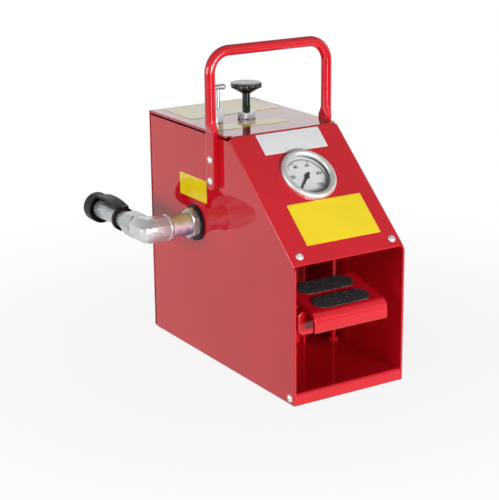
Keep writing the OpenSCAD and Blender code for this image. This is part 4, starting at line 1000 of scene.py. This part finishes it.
class VALVE_OT_forged_elbow(bpy.types.Operator):
    """Mitre the outlet's elbow from two bars of eight flats, with an eased corner and a collar"""

    bl_idname = "valve.forged_elbow"
    bl_label = "Forged elbow"

    FLATS = 8
    BEVEL = 5 * MM
    EASED = 0.7 * MM
    COLLAR = 4 * MM
    COLLAR_SIDES = 64
    SOCKET_SIDES = 96
    # Radius of the nipple's thread, and the room round it and round the pipe
    THREAD = 10.5 * MM
    FIT = 0.1 * MM

    def leg(self, radius, corner, mouth, mitre):
        """One open bar from beyond the corner to its mouth, cut off on the mitre plane."""
        start = corner - 2 * radius * (mouth - corner).normalized()
        bar = turned_bar("elbow_leg", self.FLATS, radius, start, mouth, ends="NOTHING")
        edit(bar)
        bpy.ops.mesh.bisect(plane_co=corner, plane_no=mitre, clear_inner=True, use_fill=False)
        leave_edit()
        return bar

    def body(self, radius, corner, pipe_mouth, rear_mouth):
        """Both legs in one, bevelled at the mitre and eased along the flats."""
        toward_pipe = Vector((1.0, -1.0, 0.0)).normalized()
        elbow = joined([self.leg(radius, corner, pipe_mouth, toward_pipe),
                        self.leg(radius, corner, rear_mouth, -toward_pipe)], "forged_elbow")
        edit(elbow)
        bpy.ops.mesh.remove_doubles(threshold=MERGE_GAP)
        bpy.ops.mesh.normals_make_consistent(inside=False)
        leave_edit()
        ease(elbow, width=self.BEVEL, segments=1, angle=50.0)
        mend(elbow)
        ease(elbow, width=self.EASED, segments=2, angle=20.0)
        return elbow

    def socket(self, elbow, name, radius, start, mouth):
        """Bores a round socket from a depth to beyond its mouth."""
        beyond = self.COLLAR * (mouth - start).normalized()
        bore = turned_bar(name, self.SOCKET_SIDES, radius + self.FIT, start, mouth + beyond)
        combine(elbow, bore, "DIFFERENCE")

    def execute(self, context):
        low, high = corners("outlet_elbow")
        nipple_low, nipple_high = corners("coupling_nipple")
        pipe_axis = 0.5 * (PIPE_LOW + PIPE_HIGH)
        corner = Vector((0.5 * (nipple_low.x + nipple_high.x), pipe_axis.y, pipe_axis.z))
        radius = (corner.x - low.x) / math.cos(math.pi / self.FLATS)
        pipe_mouth = Vector((high.x, corner.y, corner.z))
        rear_mouth = Vector((corner.x, high.y, corner.z))
        elbow = self.body(radius, corner, pipe_mouth, rear_mouth)
        collar_start = pipe_mouth - Vector((self.COLLAR, 0.0, 0.0))
        collar_r = 0.5 * (high.z - low.z)
        collar = turned_bar("elbow_collar", self.COLLAR_SIDES, collar_r, collar_start, pipe_mouth)
        ease(collar, width=self.EASED, segments=3)
        combine(elbow, collar, "UNION")
        pipe_end = Vector((PIPE_LOW.x, corner.y, corner.z))
        self.socket(elbow, "pipe_socket", 0.5 * (PIPE_HIGH.z - PIPE_LOW.z), pipe_end, pipe_mouth)
        nipple_end = Vector((corner.x, nipple_low.y, corner.z))
        self.socket(elbow, "nipple_socket", self.THREAD, nipple_end, rear_mouth)
        smooth(elbow, angle=25.0)
        dress(elbow, "zinc_plate", "housing", look="forged_zinc")
        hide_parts("outlet_elbow")
        return {"FINISHED"}


class VALVE_OT_joint_seal(bpy.types.Operator):
    """Seat the black seal between the elbow and the coupling's hexagon"""

    bl_idname = "valve.joint_seal"
    bl_label = "Joint seal"

    INNER = 10.5 * MM
    OUTER = 12.8 * MM
    WIDTH = 2.2 * MM
    EASED = 0.5 * MM
    GAP = 0.1 * MM

    def execute(self, context):
        elbow_end = corners("outlet_elbow")[1].y
        nipple_low, nipple_high = corners("coupling_nipple")
        axis = 0.5 * (nipple_low + nipple_high)
        seal = turned_ring("joint_seal", self.INNER, self.OUTER, 0.0, self.WIDTH)
        ease(seal, width=self.EASED, segments=3)
        place = Matrix.Translation((axis.x, elbow_end + self.GAP, axis.z))
        settle(seal, place @ Matrix.Rotation(-QUARTER, 4, "X"))
        smooth(seal)
        dress(seal, "black_rubber", "housing")
        return {"FINISHED"}


class VALVE_OT_cap_strap(bpy.types.Operator):
    """Copy the dust cap's strap as a merged, smoothed piece in black rubber"""

    bl_idname = "valve.cap_strap"
    bl_label = "Cap strap"

    RING = 5 * MM

    def execute(self, context):
        strap = node_copy("cap_strap", "tether_strap")
        smooth(strap, angle=40.0)
        dress(strap, "black_rubber", None)
        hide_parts("cap_strap")
        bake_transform(strap)
        return {"FINISHED"}


class VALVE_OT_inlet_thread(bpy.types.Operator):
    """Wind the pipe thread's crests into the inlet port"""

    bl_idname = "valve.inlet_thread"
    bl_label = "Inlet thread"

    PITCH = 1.34 * MM
    DEPTH = 0.45 * MM
    SETBACK = 0.6 * MM
    # Share of the bore that is threaded, and of the depth by which the crest's middle stands off the wall
    THREADED = 0.8
    CLEAR = 0.1

    def execute(self, context):
        inlet = next(mount for mount in frame["record"]["mounts"] if mount["name"] == "inlet")
        mouth = Vector(inlet["pos_m"])
        crest_r = inlet["dims"]["r_mm"] * MM - self.CLEAR * self.DEPTH
        turns = int(self.THREADED * inlet["dims"]["length_mm"] * MM / self.PITCH)
        crest = wound("inlet_thread", sides=3, wire_r=self.DEPTH, mean_r=crest_r,
                      height=turns * self.PITCH, turns=turns)
        settle(crest, Matrix.Rotation(QUARTER, 4, "X"))
        settle(crest, Matrix.Translation(mouth - Vector((0.0, self.SETBACK, 0.0))))
        smooth(crest, angle=40.0)
        dress(crest, "zinc_plate", "housing")
        return {"FINISHED"}


class VALVE_OT_studio(bpy.types.Operator):
    """Set the floor, the lamps, the surround and the camera"""

    bl_idname = "valve.studio"
    bl_label = "Studio"

    # Each lamp's name, its power's property, its width and height, and its place
    LAMPS = (
        ("key_lamp", "key_power", (1.5, 0.5), (0.3, -2.3, 0.27)),
        ("strip_lamp", "strip_power", (0.17, 0.28), (-0.12, -1.05, 0.16)),
        ("side_lamp", "side_power", (1.6, 0.8), (-2.2, 0.1, 0.5)),
        ("rim_lamp", "rim_power", (2.4, 0.9), (1.5, 2.4, 1.25)),
    )
    FLOOR_SIZE = 24.0
    FLOOR_GREY = 0.86
    # Share of plain white near the object, where its shadow shows, and the radii over which that share fills
    SHADOW_LEAST = 0.88
    SHADOW_RADII = (0.2, 0.7)
    # Grey and share of the far front in mirror images, and the places between which it fades
    FRONT_GREY = 0.02
    FRONT_SHARE = 0.85
    FRONT_PLACES = (-1.0, -0.5)
    # Heights on a sphere of radius 1 between which the surround dims
    DIM_HEIGHTS = (0.2, 0.6)
    SENSOR = 36.0
    VIEW_DEPTH = 60.0

    def execute(self, context):
        studio = context.scene.valve_studio
        context.scene.view_settings.view_transform = "Standard"
        self.floor()
        self.surround(context, studio)
        for name, power, size, place in self.LAMPS:
            self.lamp(name, getattr(studio, power), size, place, studio.aim)
        self.camera(context, studio)
        return {"FINISHED"}

    def floor(self):
        """White where it is seen; shiny surfaces find its far front dark, as in front of a camera."""
        deselect()
        bpy.ops.mesh.primitive_plane_add(size=self.FLOOR_SIZE)
        floor = fresh("studio_floor")
        material = bpy.data.materials.new("studio_floor")
        material.use_nodes = True
        look = Shading(material.node_tree)
        out = look.node("ShaderNodeOutputMaterial")
        matt = look.node("ShaderNodeBsdfDiffuse", Color=grey(self.FLOOR_GREY)).outputs["BSDF"]
        glow = look.node("ShaderNodeEmission", Color=grey(1.0), Strength=1.0).outputs["Emission"]
        dark = look.node("ShaderNodeBsdfDiffuse", Color=grey(self.FRONT_GREY)).outputs["BSDF"]
        path = look.node("ShaderNodeLightPath")
        place = look.node("ShaderNodeTexCoord").outputs["Object"]
        distance = look.node("ShaderNodeVectorMath")
        distance.operation = "LENGTH"
        look.link(place, distance.inputs[0])
        share = look.spread(distance.outputs["Value"], self.SHADOW_LEAST, 1.0, *self.SHADOW_RADII)
        white = look.mix(look.maths("MULTIPLY", look.seen_rays(path), share), matt, glow)
        front = look.spread(look.axis(place, "Y"), self.FRONT_SHARE, 0.0, *self.FRONT_PLACES)
        mirrored = look.maths("MULTIPLY", front, path.outputs["Is Glossy Ray"])
        look.link(look.mix(mirrored, white, dark), out.inputs["Surface"])
        floor.data.materials.append(material)

    def surround(self, context, studio):
        """White from the horizon down and dim overhead, and dimmer for matt surfaces."""
        world = bpy.data.worlds.new("studio_surround")
        context.scene.world = world
        world.use_nodes = True
        look = Shading(world.node_tree)
        out = look.node("ShaderNodeOutputWorld")
        white = look.node("ShaderNodeBackground", Color=grey(1.0))
        height = look.axis(look.node("ShaderNodeTexCoord").outputs["Generated"], "Z")
        fade = look.spread(height, 1.0, studio.overhead, *self.DIM_HEIGHTS)
        seen = look.seen_rays(look.node("ShaderNodeLightPath"))
        shown = look.spread(seen, studio.ambient, 1.0, 0.0, 1.0)
        look.link(look.maths("MULTIPLY", fade, shown), white.inputs["Strength"])
        look.link(white.outputs["Background"], out.inputs["Surface"])

    def lamp(self, name, power, size, place, aim):
        """A rectangular lamp that faces the aim."""
        deselect()
        bpy.ops.object.light_add(type="AREA", location=place)
        lamp = bpy.context.active_object
        lamp.name = name
        lamp.data.shape = "RECTANGLE"
        lamp.data.size, lamp.data.size_y = size
        lamp.data.energy = power
        toward = Vector(aim) - Vector(place)
        lamp.rotation_euler = toward.to_track_quat("-Z", "Y").to_euler()

    def camera(self, context, studio):
        """The photograph's viewpoint."""
        flat = math.cos(studio.elevation)
        back = Vector((flat * math.sin(studio.azimuth), -flat * math.cos(studio.azimuth),
                       math.sin(studio.elevation)))
        level = Vector((math.cos(studio.azimuth), math.sin(studio.azimuth), 0.0))
        right = math.cos(studio.roll) * level + math.sin(studio.roll) * back.cross(level)
        turn = Matrix((right, back.cross(right), back)).transposed().to_4x4()
        deselect()
        bpy.ops.object.camera_add()
        camera = bpy.context.active_object
        camera.name = "photo_camera"
        camera.matrix_world = Matrix.Translation(Vector(studio.aim) + studio.distance * back) @ turn
        camera.data.sensor_fit = "VERTICAL"
        camera.data.sensor_height = self.SENSOR
        camera.data.lens = studio.lens
        camera.data.clip_end = self.VIEW_DEPTH
        context.scene.camera = camera


class VALVE_PT_panel(bpy.types.Panel):
    """Steps of the scene, in order"""

    bl_idname = "VALVE_PT_panel"
    bl_label = "Foot valve"
    bl_space_type = "VIEW_3D"
    bl_region_type = "UI"
    bl_category = "Foot valve"

    def draw(self, context):
        for step in STEPS:
            self.layout.operator(step.bl_idname)
        for name in GROUPS:
            settings = getattr(context.scene, name)
            box = self.layout.box()
            for prop in settings.bl_rna.properties:
                if prop.identifier not in {"rna_type", "name"}:
                    box.prop(settings, prop.identifier)


STEPS = (
    VALVE_OT_finish_nodes,
    VALVE_OT_bare_plates,
    VALVE_OT_dial_marks,
    VALVE_OT_grit_pads,
    VALVE_OT_lever_nose,
    VALVE_OT_flat_knob,
    VALVE_OT_springs,
    VALVE_OT_forged_elbow,
    VALVE_OT_joint_seal,
    VALVE_OT_cap_strap,
    VALVE_OT_inlet_thread,
    VALVE_OT_studio,
)


def register():
    for name, group in GROUPS.items():
        bpy.utils.register_class(group)
        setattr(bpy.types.Scene, name, PointerProperty(type=group))
    for step in STEPS:
        bpy.utils.register_class(step)
    bpy.utils.register_class(VALVE_PT_panel)


def unregister():
    bpy.utils.unregister_class(VALVE_PT_panel)
    for step in reversed(STEPS):
        bpy.utils.unregister_class(step)
    for name, group in reversed(GROUPS.items()):
        delattr(bpy.types.Scene, name)
        bpy.utils.unregister_class(group)


def main():
    register()
    bpy.ops.valve.finish_nodes()
    bpy.ops.valve.bare_plates()
    bpy.ops.valve.dial_marks()
    bpy.ops.valve.grit_pads()
    bpy.ops.valve.lever_nose()
    bpy.ops.valve.flat_knob()
    bpy.ops.valve.springs()
    bpy.ops.valve.forged_elbow()
    bpy.ops.valve.joint_seal()
    bpy.ops.valve.cap_strap()
    bpy.ops.valve.inlet_thread()
    bpy.ops.valve.studio()
    deselect()


if __name__ == "__main__":
    main()
